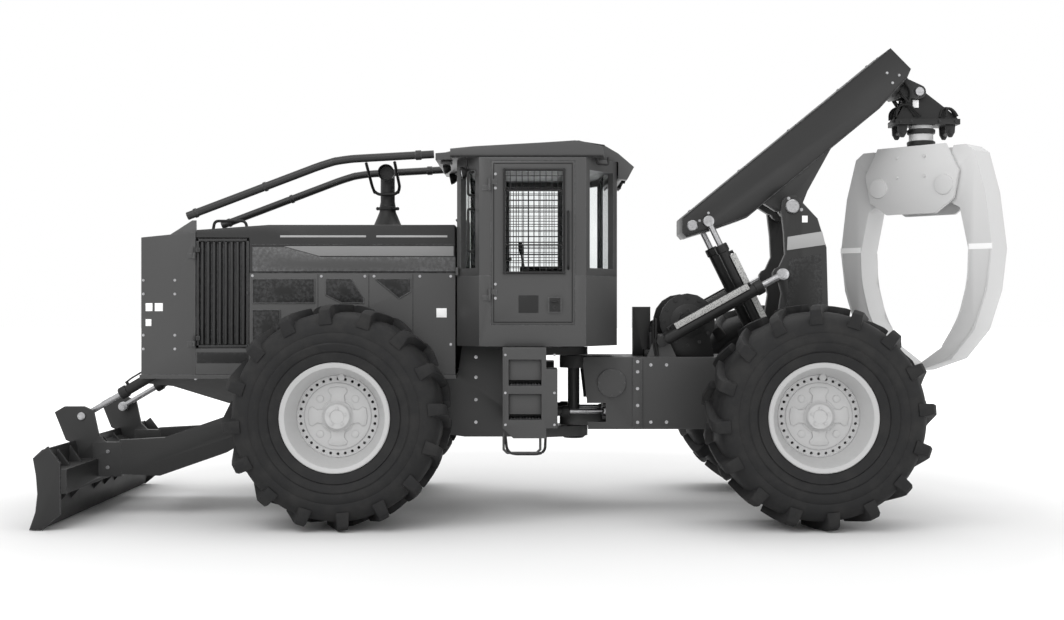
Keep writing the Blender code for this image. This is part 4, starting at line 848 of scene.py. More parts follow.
class SKIDDER_OT_hood_trim(bpy.types.Operator):
    """Silver stripe, dark top band with its slots, hand rail and gussets"""
    bl_idname = "skidder.hood_trim"
    bl_label = "Hood trim"

    def execute(self, context):
        y = -BAY
        stripe = plate("stripe", STRIPE, y - 0.004, y + 0.001, edge=0.002)
        finish_piece(both(stripe, "hood_stripe"), "root", "silver")
        lower = plate("lower", [(DOOR_SPAN[1] + 0.03, SEAM_Z + 0.012), (HOOD_END, SEAM_Z + 0.012),
                                (HOOD_END, 2.262), (-1.84, 2.262), (-2.16, 2.35),
                                (DOOR_SPAN[1] + 0.03, 2.35)], y - 0.0025, y + 0.001, edge=0.001)
        finish_piece(both(lower, "hood_lower_skin"), "root", "body")
        slots = [flat("slot", (x0, z0), (x1, z1), (y - 0.0015, y + 0.001), 0.0005)
                 for x0, x1, z0, z1 in ((-2.20, -1.45, 2.435, 2.452), (-1.36, -0.74, 2.435, 2.452))]
        finish_piece(both(merged("slots", slots), "hood_slots"), "root", "band")
        lip = both(pipe("lip", [(-2.46, y, 2.372), (HOOD_END, y, 2.372)], 0.005, sides=2), "hood_lip")
        top = [plate("rib", [(-2.30, yy - 0.012), (-1.50, yy - 0.012), (-1.50, yy + 0.012),
                             (-2.30, yy + 0.012)], 2.540, 2.551, "z", 0.004)
               for yy in (-0.42, -0.28, 0.28, 0.42)]
        finish_piece(merged("hood_ribs", [lip, *top]), "root", "dark")
        grab = rail("grab", [(-2.82, -0.58, 2.47), (-2.80, -0.58, 2.585), (-2.53, -0.58, 2.585),
                             (-2.51, -0.58, 2.51)], 0.013)
        finish_piece(both(grab, "hood_grab_rails"), "root", "screen")
        return {"FINISHED"}


class SKIDDER_OT_risers(bpy.types.Operator):
    """Bent limb risers with end plates, clamps and the exhaust hoop"""
    bl_idname = "skidder.risers"
    bl_label = "Limb risers"

    def execute(self, context):
        for side, s in SIDES:
            path = [(x, s * RISER_Y, z) for x, z in RISER_LINE]
            tube = pipe("tube", path, RISER_R, 0.12, sides=5, segments=8)
            ring = disc("ring", (-1.02, s * RISER_Y, 3.156), 0.043, 0.05, (1, 0, 0.05), 28, 0.004)
            pads = [disc("pad", (x, s * RISER_Y, z), 0.042, 0.03, (0.93, 0, 0.35), 28, 0.004)
                    for x, z in ((-2.96, 2.645), (-2.35, 2.876))]
            finish_piece(merged(f"riser_{side}", [tube, ring, *pads]), "root", "dark",
                         f"limb_riser_{side}")
        hoop = rail("hoop", [(EXHAUST_X - 0.125, -0.60, 3.09), (EXHAUST_X - 0.125, -0.13, 2.92),
                             (EXHAUST_X - 0.10, -0.10, 2.86), (EXHAUST_X + 0.10, -0.10, 2.86),
                             (EXHAUST_X + 0.125, -0.13, 2.92), (EXHAUST_X + 0.125, -0.60, 3.10)], 0.014,
                    0.05)
        finish_piece(hoop, "root", "screen")
        return {"FINISHED"}


class SKIDDER_OT_exhaust(bpy.types.Operator):
    """Exhaust stack: flared foot, clamp ring, pipe and turned-out mouth"""
    bl_idname = "skidder.exhaust"
    bl_label = "Exhaust"

    def execute(self, context):
        foot = turn_profile("foot", [(0.150, 2.546), (0.150, 2.560), (0.132, 2.572), (0.078, 2.700),
                                     (0.074, 2.72), (0.086, 2.725), (0.088, 2.748), (0.074, 2.753),
                                     (0.066, 2.80), (0.066, 2.95), (0.055, 2.95), (0.055, 2.546)],
                            (EXHAUST_X, 0, 0), 48, (0, 0, 1), True)
        elbow = pipe("elbow", [(EXHAUST_X, 0, 2.94), (EXHAUST_X, 0, 3.058), (EXHAUST_X, -0.10, 3.058)],
                     0.066, 0.055, 6, 8)
        mouth = turn_profile("mouth", [(0.064, -0.06), (0.068, -0.075), (0.074, -0.12), (0.076, -0.160),
                                       (0.071, -0.162), (0.066, -0.12), (0.056, -0.09), (0.056, -0.06)],
                             (EXHAUST_X, 0, 3.058), 48, (0, 1, 0), True)
        clamp = bolts("clamp", [(EXHAUST_X + 0.092, 0, 2.737), (EXHAUST_X - 0.092, 0, 2.737)], 0.012,
                      0.02, (0, -1, 0))
        finish_piece(merged("exhaust_fine", [foot, elbow, mouth, clamp]), "root", "black",
                     "exhaust_stack")
        return {"FINISHED"}


# ---- cab: roof, guards, latch, lamps, seat and controls ---------------------------------------
CAB_Y = 0.98
WINDOW_SPAN, WINDOW_HEIGHT = (-0.224, 0.260), (2.129, 2.984)
DOOR_CAB = (-0.347, 0.364, 1.675, 3.072)


def guard(name, span, height, y):
    """Welded wire guard standing off a side window: a round frame and woven wires."""
    (x0, x1), (z0, z1) = span, height
    corners = [(x0, y, z0), (x1, y, z0), (x1, y, z1), (x0, y, z1)]
    pieces = [pipe("rim", [corners[i], corners[(i + 1) % 4]], 0.009) for i in range(4)]
    pieces += [disc("corner", Vector(c) + Vector((0, 0.009, 0)), 0.013, 0.018, (0, -1, 0), 20, 0.003)
               for c in corners]
    pitch = settings("trim").mesh_pitch
    count = round((x1 - x0) / pitch)
    wire = pipe("wire", [(x0, y, z0), (x0, y, z1)], 0.0032, sides=2)
    pieces += [copied(wire, "wire", ((x1 - x0) * i / count, 0, 0)) for i in range(1, count)] + [wire]
    rows = round((z1 - z0) / pitch)
    cross = pipe("cross", [(x0, y + 0.004, z0), (x1, y + 0.004, z0)], 0.0032, sides=2)
    pieces += [copied(cross, "cross", (0, 0, (z1 - z0) * i / rows)) for i in range(1, rows)] + [cross]
    pieces += [pipe("stay", [(x0, y - 0.002, z0 + (z1 - z0) * f), (x1, y - 0.002, z0 + (z1 - z0) * f)],
                    0.007) for f in (0.27, 0.80)]
    return merged(name, pieces)


class SKIDDER_OT_cab_doors(bpy.types.Operator):
    """Window guards, latches, seals and hinge pins on both cab doors"""
    bl_idname = "skidder.cab_doors"
    bl_label = "Cab door fittings"

    def execute(self, context):
        y = -CAB_Y
        span = (WINDOW_SPAN[0] - 0.012, WINDOW_SPAN[1] + 0.012)
        height = (WINDOW_HEIGHT[0] - 0.012, WINDOW_HEIGHT[1] + 0.012)
        screen = guard("guard", span, height, y - 0.012)
        latch = merged("latch",
                       [block("pocket", (0.148, y - 0.034, 1.785), (0.242, y - 0.028, 1.905), 0.004),
                        disc("lock", (0.195, y - 0.034, 1.822), 0.013, 0.006, (0, -1, 0), 20, 0.002),
                        pipe("pull", [(0.165, y - 0.034, 1.872), (0.168, y - 0.052, 1.872),
                                      (0.222, y - 0.052, 1.872), (0.225, y - 0.034, 1.872)], 0.006,
                             0.008)])
        x0, x1, z0, z1 = DOOR_CAB
        grab = pipe("grab", [(x1 - 0.055, y - 0.002, 2.15), (x1 - 0.055, y - 0.045, 2.17),
                             (x1 - 0.055, y - 0.045, 2.62), (x1 - 0.055, y - 0.002, 2.64)], 0.010, 0.02)
        seal_path = [(x0 + 0.02, y - 0.001, z0 + 0.02), (x1 - 0.02, y - 0.001, z0 + 0.02),
                     (x1 - 0.02, y - 0.001, z1 - 0.02), (x0 + 0.02, y - 0.001, z1 - 0.02)]
        seal = merged("seal", [pipe("seal", [a, b], 0.004, sides=2)
                               for a, b in zip(seal_path, seal_path[1:] + seal_path[:1])])
        heads = bolts("heads", [(x0 + 0.035, y, z) for z in (1.90, 2.02, 2.84, 2.96)], 0.009, 0.008,
                      (0, -1, 0))
        plaque = block("plaque", (-0.115, y - 0.004, 1.775), (0.055, y + 0.001, 1.925), 0.003)
        for side, flip in (("left", False), ("right", True)):
            for made, finish in ((screen, "screen"), (latch, "black"), (grab, "screen"),
                                 (seal, "rubber"), (heads, "steel"), (plaque, "black")):
                piece = copied(made, f"cab_door_{side}_{made.name}", flip_y=flip)
                finish_piece(piece, f"cab_door_{side}", finish)
        for made in (screen, grab, seal, heads, plaque, latch):
            bpy.data.objects.remove(made)
        return {"FINISHED"}


def work_lamp(name, centre, facing):
    """Lamp with a turned bucket, bezel and lens, whose ribs are only in its material; no bracket is made
    here.
    """
    axis = Vector(facing).normalized()
    bucket = turn_profile(name, [(0.0, -0.055), (0.030, -0.050), (0.048, -0.02), (0.052, 0.0),
                                 (0.052, 0.012), (0.044, 0.013), (0.043, 0.003), (0.0, 0.003)], centre,
                          28, axis)
    lens = turn_profile(name + "_lens", [(0.0, 0.010), (0.03, 0.008), (0.043, 0.004), (0.0, 0.002)],
                        centre, 28, axis)
    return bucket, lens


class SKIDDER_OT_cab_outside(bpy.types.Operator):
    """Lamps, grab loops, brackets, roof seams and wiper"""
    bl_idname = "skidder.cab_outside"
    bl_label = "Cab outside fittings"

    def execute(self, context):
        buckets, lenses = [], []
        for i, (centre, facing) in enumerate((((-0.775, -0.50, 3.06), (-1, 0, -0.2)),
                                              ((-0.775, 0.50, 3.06), (-1, 0, -0.2)),
                                              ((0.835, -0.28, 2.995), (1, 0, -0.15)),
                                              ((0.835, 0.28, 2.995), (1, 0, -0.15)),
                                              ((-0.60, -0.86, 2.98), (-1, -0.2, -0.2)),
                                              ((-0.60, 0.86, 2.98), (-1, 0.2, -0.2)))):
            bucket, lens = work_lamp(f"lamp_{i}", centre, facing)
            buckets.append(bucket)
            lenses.append(lens)
        arms = [pipe("arm", [(-0.60, s * 0.86, 2.98), (-0.56, s * 0.88, 3.04),
                             (-0.56, s * 0.88, 3.125)], 0.010, 0.02) for s in (-1, 1)]
        finish_piece(merged("lamp_buckets", buckets + arms), "root", "black")
        finish_piece(merged("lamp_lenses", lenses), "root", "lamp")
        loops = [pipe("loop", [(-0.50, s * 0.93, 2.98), (-0.545, s * 0.985, 2.98),
                               (-0.545, s * 0.985, 2.78), (-0.50, s * 0.93, 2.78)], 0.011, 0.02)
                 for s in (-1, 1)]
        loops += [pipe("loop", [(-0.50, s * 0.93, 2.66), (-0.545, s * 0.985, 2.66),
                                (-0.545, s * 0.985, 2.30), (-0.50, s * 0.93, 2.30)], 0.011, 0.02)
                  for s in (-1, 1)]
        loops += [pipe("loop",
                       [(0.55, s * 0.90, 3.12), (0.56, s * 0.90, 3.055), (0.66, s * 0.84, 3.055),
                        (0.66, s * 0.80, 3.12)], 0.010, 0.02) for s in (-1, 1)]
        finish_piece(merged("cab_grab_loops", loops), "root", "screen")
        brackets = [block("bracket", (-0.80, s * 0.66 - 0.05, 3.075), (-0.70, s * 0.66 + 0.05, 3.10),
                          0.006) for s in (-1, 1)]
        brackets += [block("post", (-0.665, s * 0.74 - 0.02, 2.10), (-0.64, s * 0.74 + 0.02, 2.17),
                           0.005) for s in (-1, 1)]
        finish_piece(merged("cab_brackets", brackets), "root", "body")
        seam = pipe("seam", [(-0.62, -0.605, 3.226), (0.38, -0.605, 3.291), (0.64, -0.605, 3.251)],
                    0.004, sides=2)
        gutter = pipe("gutter", [(-0.70, -0.965, 3.115), (0.61, -0.965, 3.115)], 0.009)
        finish_piece(both(merged("roof_seams", [seam, gutter]), "roof_trim"), "root", "screen")
        wiper = [pipe("arm", [(-0.672, 0.0, 2.13), (-0.685, 0.02, 2.20), (-0.690, 0.22, 2.62)], 0.006,
                      0.02), block("blade", (-0.690, 0.19, 2.36), (-0.676, 0.205, 2.92), 0.003)]
        finish_piece(merged("wiper", wiper), "root", "screen")
        frames = [pipe("frame", [(-0.677, -0.44, 2.15), (-0.677, 0.44, 2.15)], 0.010)]
        frames += [pipe("frame", [(-0.662, y0, z0), (-0.662, y1, z1)], 0.009)
                   for y0, z0, y1, z1 in ((-0.63, 2.59, 0.63, 2.59), (-0.63, 3.01, 0.63, 3.01))]
        finish_piece(merged("front_window_seals", frames), "root", "rubber")
        return {"FINISHED"}


def cushion(name, low, high, crown, panels):
    """Stuffed pad: a subdivided block with bevelled edges, rounded by one level of subdivision."""
    low, high = Vector(low), Vector(high)
    deselect()
    bpy.ops.mesh.primitive_cube_add(size=1, location=(low + high) / 2, scale=high - low)
    pad = settle(named(name))
    edit_all(pad, lambda: bpy.ops.mesh.subdivide(number_cuts=panels))
    apply_modifier(pad, "BEVEL", width=crown, segments=4, limit_method="ANGLE",
                   angle_limit=math.radians(40))
    apply_modifier(pad, "SUBSURF", levels=1, render_levels=1)
    return smooth(pad, 60)


class SKIDDER_OT_operator_place(bpy.types.Operator):
    """Stuffed driver's cushions on a sprung pedestal"""
    bl_idname = "skidder.operator_place"
    bl_label = "Operator's chair"

    def execute(self, context):
        base = cushion("base_pad", (-0.19, -0.25, 1.90), (0.31, 0.25, 2.03), 0.035, 3)
        back = cushion("back_pad", (0.0, -0.24, 0.0), (0.12, 0.24, 0.72), 0.035, 3)
        pick(back)
        back.rotation_euler = (0, math.radians(9), 0)
        back.location = (0.27, 0, 1.99)
        settle(back)
        head = cushion("head_pad", (0.43, -0.13, 2.60), (0.50, 0.13, 2.71), 0.02, 2)
        bolsters = [cushion("bolster", (-0.17, s * 0.215 - 0.035, 1.99),
                            (0.27, s * 0.215 + 0.035, 2.055), 0.02, 2) for s in (-1, 1)]
        pad = finish_piece(merged("operator_cushion", [base, back, head, *bolsters]), "root", "cloth",
                           "operator_seat")
        rests = [cushion("rest", (-0.11, s * 0.34 - 0.04, 2.14), (0.30, s * 0.34 + 0.04, 2.19), 0.015,
                         2) for s in (-1, 1)]
        levers = []
        for s in (-1, 1):
            levers += [turn_profile("lever", [(0.0, 0.0), (0.016, 0.003), (0.013, 0.03), (0.009, 0.05),
                                              (0.009, 0.13), (0.021, 0.15), (0.024, 0.19),
                                              (0.014, 0.225), (0.0, 0.23)], (-0.08, s * 0.34, 2.185),
                                    20, (-0.12, 0, 1))]
        bellows = turn_profile("bellows", [(0.0, 0.0), (0.16, 0.0), (0.17, 0.03), (0.13, 0.06),
                                           (0.17, 0.09), (0.13, 0.12), (0.17, 0.15), (0.13, 0.18),
                                           (0.16, 0.20), (0.0, 0.20)], (0.10, 0, 1.68), 32, (0, 0, 1))
        plinth = block("plinth", (-0.05, -0.18, 1.545), (0.28, 0.18, 1.69), 0.02)
        posts = [block("post", (0.22, s * 0.29 - 0.055, 2.0), (0.28, s * 0.29 + 0.055, 2.15), 0.01)
                 for s in (-1, 1)]
        finish_piece(merged("chair_fittings", rests + levers + [bellows, plinth, *posts]), "root",
                     "rubber")
        column = pipe("column", [(-0.50, 0, 1.60), (-0.46, 0, 1.95), (-0.38, 0, 2.16)], 0.03, 0.1, 4)
        console = plate("console", [(-0.57, 1.545), (-0.44, 1.545), (-0.42, 2.02), (-0.52, 2.20),
                                    (-0.58, 2.20)], -0.22, 0.22, edge=0.02)
        wheel = turn_profile("wheel", [(0.175 + 0.014 * math.cos(t), 0.014 * math.sin(t))
                                       for t in (math.tau * k / 10 for k in range(10))],
                             (-0.36, 0, 2.20), 40, (-0.45, 0, 1), True)
        spoke = [pipe("spoke",
                      [(-0.36, 0, 2.19), Vector((-0.36, 0, 2.20)) + Vector((a * 0.16, b, a * 0.072))],
                      0.009) for a, b in ((1, 0), (-0.5, 0.15), (-0.5, -0.15))]
        side_box = [block("side_box", (-0.30, s * 0.60 - 0.09, 1.56), (0.36, s * 0.60 + 0.09, 1.98),
                          0.03) for s in (1,)]
        finish_piece(merged("controls", [column, console, wheel, *spoke, *side_box]), "root", "rubber")
        return {"FINISHED"}


class SKIDDER_OT_steps(bpy.types.Operator):
    """Punched treads, stirrups and rivets on the entry steps"""
    bl_idname = "skidder.steps"
    bl_label = "Step fittings"

    def execute(self, context):
        treads, studs = [], []
        for z in (0.872, 1.162):
            treads.append(block("tread", (-0.190, -1.085, z), (0.075, -0.88, z + 0.008), 0.002))
            stud = disc("stud", (-0.175, -1.070, z + 0.008), 0.006, 0.006, (0, 0, 1), 8)
            row = [copied(stud, "stud", (0.026 * i, 0.03 * j, 0)) for i in range(10) for j in range(7)
                   if i or j]
            studs += row + [stud]
        kicks = [block("kick", (-0.195, -1.052, z + 0.045), (0.078, -1.046, z + 0.214), 0.002)
                 for z in (0.872, 1.162)]
        finish_piece(both(merged("kicks", kicks), "kick_plates"), "root", "body")
        stirrup = pipe("stirrup", [(-0.225, -1.06, 0.73), (-0.21, -1.06, 0.60), (-0.16, -1.06, 0.580),
                                   (0.06, -1.06, 0.580), (0.11, -1.06, 0.60), (0.115, -1.06, 0.73)],
                       0.012, 0.04)
        finish_piece(both(merged("treads", treads + studs), "step_treads"), "root", "cast")
        finish_piece(both(stirrup, "step_stirrups"), "root", "screen")
        places = [(x, -1.09, z) for x in (-0.225, 0.19) for z in (0.83, 1.10, 1.42)]
        finish_piece(both(bolts("bolts", places, 0.008, 0.006, (0, -1, 0)), "step_bolts"), "root",
                     "steel")
        return {"FINISHED"}


# ---- cylinders -----------------------------------------------------------------------------
# Name, barrel pin, rod pin, distance from the centre plane, barrel length, barrel and rod radii, and
# how far along the rod starts.
CYLINDERS = [
    ("arch", (1.156, 1.523), (2.228, 2.117), 0.50, 1.02, 0.055, 0.030, 0.55),
    ("boom", (2.10, 1.56), (1.59, 2.60), 0.33, 0.92, 0.050, 0.028, 0.25),
    ("blade", (-3.05, 1.40), (-3.95, 0.87), 0.56, 0.68, 0.045, 0.025, 0.33),
]
STEERING = ((-0.20, 0.33), (0.665, 0.27), 0.885, 0.54, 0.042, 0.022, 0.345)


def make_cylinder(name, base, eye, length, radius, rod_radius, rod_start, pin_axis, pin_half):
    """Barrel with its foot, gland and ports, and the ground rod with its eye."""
    base, eye = Vector(base), Vector(eye)
    line = eye - base
    reach = line.length
    barrel = turn_profile(name + "_barrel", [(0.0, 0.02), (radius * 0.7, 0.02), (radius, 0.05),
                                             (radius, length - 0.075), (radius + 0.008, length - 0.07),
                                             (radius + 0.010, length - 0.062),
                                             (radius + 0.010, length - 0.008), (radius + 0.004, length),
                                             (rod_radius + 0.004, length), (rod_radius + 0.004, 0.06),
                                             (0.0, 0.06)], base, 40, line)
    rod = turn_profile(name + "_rod",
                       [(0.0, rod_start), (rod_radius, rod_start), (rod_radius, reach - 0.03),
                        (0.0, reach - 0.03)], base, 32, line)
    eyes = []
    for centre, size, half in ((base, radius * 0.9, pin_half), (eye, rod_radius * 1.75, 0.03)):
        eyes.append(disc("eye", centre - Vector(pin_axis) * half, size, half * 2, pin_axis, 32, 0.004))
    across = line.cross(Vector(pin_axis)).normalized()
    outward = across.y * base.y if pin_axis[2] else -across.z
    across = -across if outward > 0 else across
    at = [base + line.normalized() * d + across * radius for d in (0.10, length - 0.10)]
    ports = [disc("port", p, 0.014, 0.03, across, 16, 0.003) for p in at]
    feed = pipe("feed", [at[1] + across * 0.022, at[1] + across * 0.030 - line.normalized() * 0.05,
                         at[0] + across * 0.030 + line.normalized() * 0.05, at[0] + across * 0.022],
                0.008, 0.02)
    return merged(name + "_barrel", [barrel, eyes[0], *ports, feed]), merged(name + "_rod",
            [rod, eyes[1]])


class SKIDDER_OT_cylinders(bpy.types.Operator):
    """Turned hydraulic cylinders with glands, ports, steel lines and ground rods"""
    bl_idname = "skidder.cylinders"
    bl_label = "Cylinders"

    def execute(self, context):
        for name, base, eye, y, length, radius, rod_radius, rod_start in CYLINDERS:
            barrels = []
            for side, s in SIDES:
                barrel, rod = make_cylinder(f"{name}_{side}", (base[0], s * y, base[1]),
                                            (eye[0], s * y, eye[1]), length, radius, rod_radius,
                                            rod_start, (0, 1, 0), 0.03)
                barrels.append(barrel)
                finish_piece(rod, f"{name}_cylinder_rods", "steel", f"{name}_cylinder_rod_{side}")
            pin = disc("pin", (base[0], -y, base[1]), 0.027, 2 * y, (0, 1, 0), 24, 0.002)
            finish_piece(merged(f"{name}_barrels_fine", barrels + [pin]), f"{name}_cylinder_barrels",
                         "black", f"{name}_cylinder_barrels")
        (bx, by), (ex, ey), z, length, radius, rod_radius, rod_start = STEERING
        for side, s in SIDES:
            barrel, rod = make_cylinder(f"steering_{side}", (bx, s * by, z), (ex, s * ey, z), length,
                                        radius, rod_radius, rod_start, (0, 0, 1), 0.044)
            finish_piece(barrel, f"steering_barrel_{side}", "black", f"steering_barrel_{side}")
            finish_piece(rod, f"steering_rod_{side}", "steel", f"steering_rod_{side}")
        strips = []
        for name, base, eye, y, length, radius, _, _ in CYLINDERS[:2]:
            start, line = Vector((base[0], 0, base[1])), Vector((eye[0] - base[0], 0,
                                                                 eye[1] - base[1])).normalized()
            up = Vector((-line.z, 0, line.x)) * (1 if line.x > 0 else -1)
            for s in (-1, 1):
                a, b = start + line * 0.16, start + line * (length - 0.12)
                off = Vector((0, s * (y + radius * 0.72), 0)) + up * radius * 0.60
                strip = plate("strip", [((a + off).x, (a + off).z), ((b + off).x, (b + off).z),
                                        ((b + off + up * 0.055).x, (b + off + up * 0.055).z),
                                        ((a + off + up * 0.055).x, (a + off + up * 0.055).z)],
                              s * (y + radius + 0.004), s * (y + radius + 0.009), edge=0.002)
                strips.append((name, strip))
        for name in ("arch", "boom"):
            finish_piece(merged(f"{name}_cylinder_guards", [s for n, s in strips if n == name]),
                         f"{name}_cylinder_barrels", "guard")
        return {"FINISHED"}


# ---- rear: frame, winch, arch, boom and grapple -----------------------------------------------
WINCH_AT = (1.40, 1.70)


class SKIDDER_OT_winch(bpy.types.Operator):
    """Cable drum with its windings, bolted flange, valve blocks and hoses"""
    bl_idname = "skidder.winch"
    bl_label = "Winch"

    def execute(self, context):
        x, z = WINCH_AT
        drum = turn_profile("drum", [(0.0, -0.315), (0.048, -0.315), (0.048, -0.286), (0.234, -0.286),
                                     (0.236, -0.264), (0.165, -0.260), (0.165, 0.260), (0.236, 0.264),
                                     (0.234, 0.286), (0.048, 0.286), (0.048, 0.315), (0.0, 0.315)],
                            (x, 0, z), 64)
        finish_piece(drum, "winch_drum", "black", "winch_drum")
        ring_profile = [(0.178 + 0.0115 * math.cos(t), 0.0115 * math.sin(t))
                        for t in (math.tau * k / 8 for k in range(8))]
        wrap = turn_profile("wrap", ring_profile, (x, -0.245, z), 48, closed=True)
        wraps = [wrap] + [copied(wrap, "wrap", (0, 0.0233 * i, 0)) for i in range(1, 22)]
        finish_piece(merged("cable_windings", wraps), "winch_drum", "cable")
        head = ring_of(bolts("flange_bolt", [(x, -0.336, z + 0.215)], 0.013, 0.014, (0, -1, 0)), 12,
                       (x, 0, z))
        hub = turn_profile("hub", [(0.0, 0.359), (0.15, 0.359), (0.155, 0.37), (0.12, 0.385),
                                   (0.085, 0.39), (0.075, 0.41), (0.0, 0.412)], (x, 0, z), 48,
                           (0, -1, 0))
        inner = ring_of(bolts("hub_bolt", [(x, -0.383, z + 0.10)], 0.009, 0.01, (0, -1, 0)), 8,
                        (x, 0, z))
        finish_piece(merged("winch_flange", [head, hub, inner]), "rear_frame", "black")
        valves = [block("valve_block", (1.062, -0.28, 1.42), (1.140, -0.09, 1.60), 0.01),
                  block("valve_block", (1.062, 0.09, 1.42), (1.140, 0.28, 1.60), 0.01)]
        for s in (-1, 1):
            for i in range(4):
                spool = disc("spool", (1.085 + 0.02 * (i % 2), s * (0.11 + 0.045 * i), 1.60), 0.013,
                             0.05, (0, 0, 1), 16, 0.003)
                valves.append(spool)
        finish_piece(merged("valve_blocks", valves), "rear_frame", "cast")
        hoses = []
        for s in (-1, 1):
            for i in range(4):
                x, y, out = 1.085 + 0.02 * (i % 2), s * (0.11 + 0.045 * i), s * (0.365 + 0.028 * i)
                hoses.append(pipe("hose",
                                  [(x, y, 1.64), (x, y, 1.66 + 0.016 * i), (x, out, 1.67 + 0.016 * i),
                                   (x, out, 1.50), (x + 0.02, out, 1.39)], 0.011, 0.03, 3, 6))
        finish_piece(merged("winch_hoses", hoses), "rear_frame", "hose")
        return {"FINISHED"}


class SKIDDER_OT_frame_trim(bpy.types.Operator):
    """Bolts, round covers and hinge caps on the front and rear frames"""
    bl_idname = "skidder.frame_trim"
    bl_label = "Frame fittings"

    def execute(self, context):
        places = [(x, -0.450, z) for x in (1.06, 1.20, 1.78) for z in (0.80, 1.31)]
        places += [(0.94, -0.475, z) for z in (0.80, 0.95, 1.10, 1.25, 1.34)]
        finish_piece(both(bolts("bolts", places, 0.011, 0.009, (0, -1, 0)), "rear_frame_bolts"),
                     "rear_frame", "steel")
        cover = turn_profile("cover", [(0.0, 0.462), (0.108, 0.462), (0.122, 0.468), (0.130, 0.466),
                                       (0.126, 0.476), (0.10, 0.480), (0.0, 0.481)], (0.71, 0, 1.15),
                             48, (0, -1, 0))
        ring = ring_of(bolts("cover_bolt", [(0.71, -0.479, 1.265)], 0.008, 0.008, (0, -1, 0)), 8,
                       (0.71, 0, 1.15))
        finish_piece(both(merged("cover", [cover, ring]), "round_covers"), "rear_frame", "body")
        caps = [turn_profile("cap", [(0.0, 0.0), (0.10, 0.0), (0.105, 0.008), (0.09, 0.022),
                                     (0.045, 0.026), (0.0, 0.026)], (0.385, 0, z), 36, (0, 0, up))
                for z, up in ((1.4605, 1), (0.6445, -1))]
        nuts = ring_of(bolts("nut", [(0.385 + 0.075, 0, 1.480)], 0.011, 0.012, (0, 0, 1)), 6,
                       (0.385, 0, 0), (0, 0, 1))
        finish_piece(merged("hinge_caps", caps + [nuts]), "root", "cast")
        places = [(x, -0.450, z) for x in (-0.50, -0.02) for z in (0.80, 1.00, 1.20, 1.38)]
        places += [(x, -0.450, 1.19) for x in (-2.2, -2.6, -3.0)]
        finish_piece(both(bolts("bolts", places, 0.011, 0.009, (0, -1, 0)), "front_frame_bolts"),
                     "root", "steel")
        return {"FINISHED"}


class SKIDDER_OT_arch_trim(bpy.types.Operator):
    """Pale band, pin heads, blank plates and hoses on the arch"""
    bl_idname = "skidder.arch_trim"
    bl_label = "Arch fittings"

    def execute(self, context):
        y = -0.395
        band = plate("band", [(2.285, 2.335), (2.630, 2.385), (2.600, 2.505), (2.290, 2.455)],
                     y - 0.004, y + 0.001, edge=0.002)
        finish_piece(both(band, "arch_bands"), "arch", "band")
        front = plate("front", [(2.255, 1.45), (2.615, 1.62), (2.590, 2.30), (2.300, 2.26),
                                (2.300, 1.95), (2.245, 1.72)], y - 0.0025, y + 0.001, edge=0.001)
        finish_piece(both(front, "arch_skins"), "arch", "black")
        pins = []
        for centre, r in (((2.333, 2.728), 0.062), ((2.228, 2.117), 0.040)):
            pins.append(turn_profile("pin", [(0.0, 0.419), (r - 0.008, 0.419), (r, 0.411), (r, 0.394),
                                             (0.0, 0.394)], (centre[0], 0, centre[1]), 36, (0, -1, 0)))
        pins.append(bolts("keeper", [(2.415, -0.394, 2.70), (2.30, -0.394, 2.80)], 0.011, 0.010,
                          (0, -1, 0)))
        finish_piece(both(merged("pins", pins), "arch_pins"), "arch", "steel")
        tag = block("tag", (2.42, y - 0.003, 2.585), (2.47, y + 0.001, 2.645), 0.001)
        finish_piece(both(tag, "arch_blank_plates"), "arch", "white")
        hoses = [pipe("hose",
                      [(2.30, s * (0.12 + 0.035 * i), 1.42), (2.31, s * (0.12 + 0.035 * i), 1.75),
                       (2.345, s * (0.12 + 0.035 * i), 2.20), (2.37, s * (0.10 + 0.03 * i), 2.50)],
                      0.012, 0.12, 3, 6) for s in (-1, 1) for i in range(3)]
        clamps = [block("clamp", (2.325, s * 0.155 - 0.06, 1.90), (2.36, s * 0.155 + 0.06, 1.93),
                        0.004) for s in (-1, 1)]
        finish_piece(merged("arch_hoses", hoses + clamps), "arch", "hose")
        return {"FINISHED"}


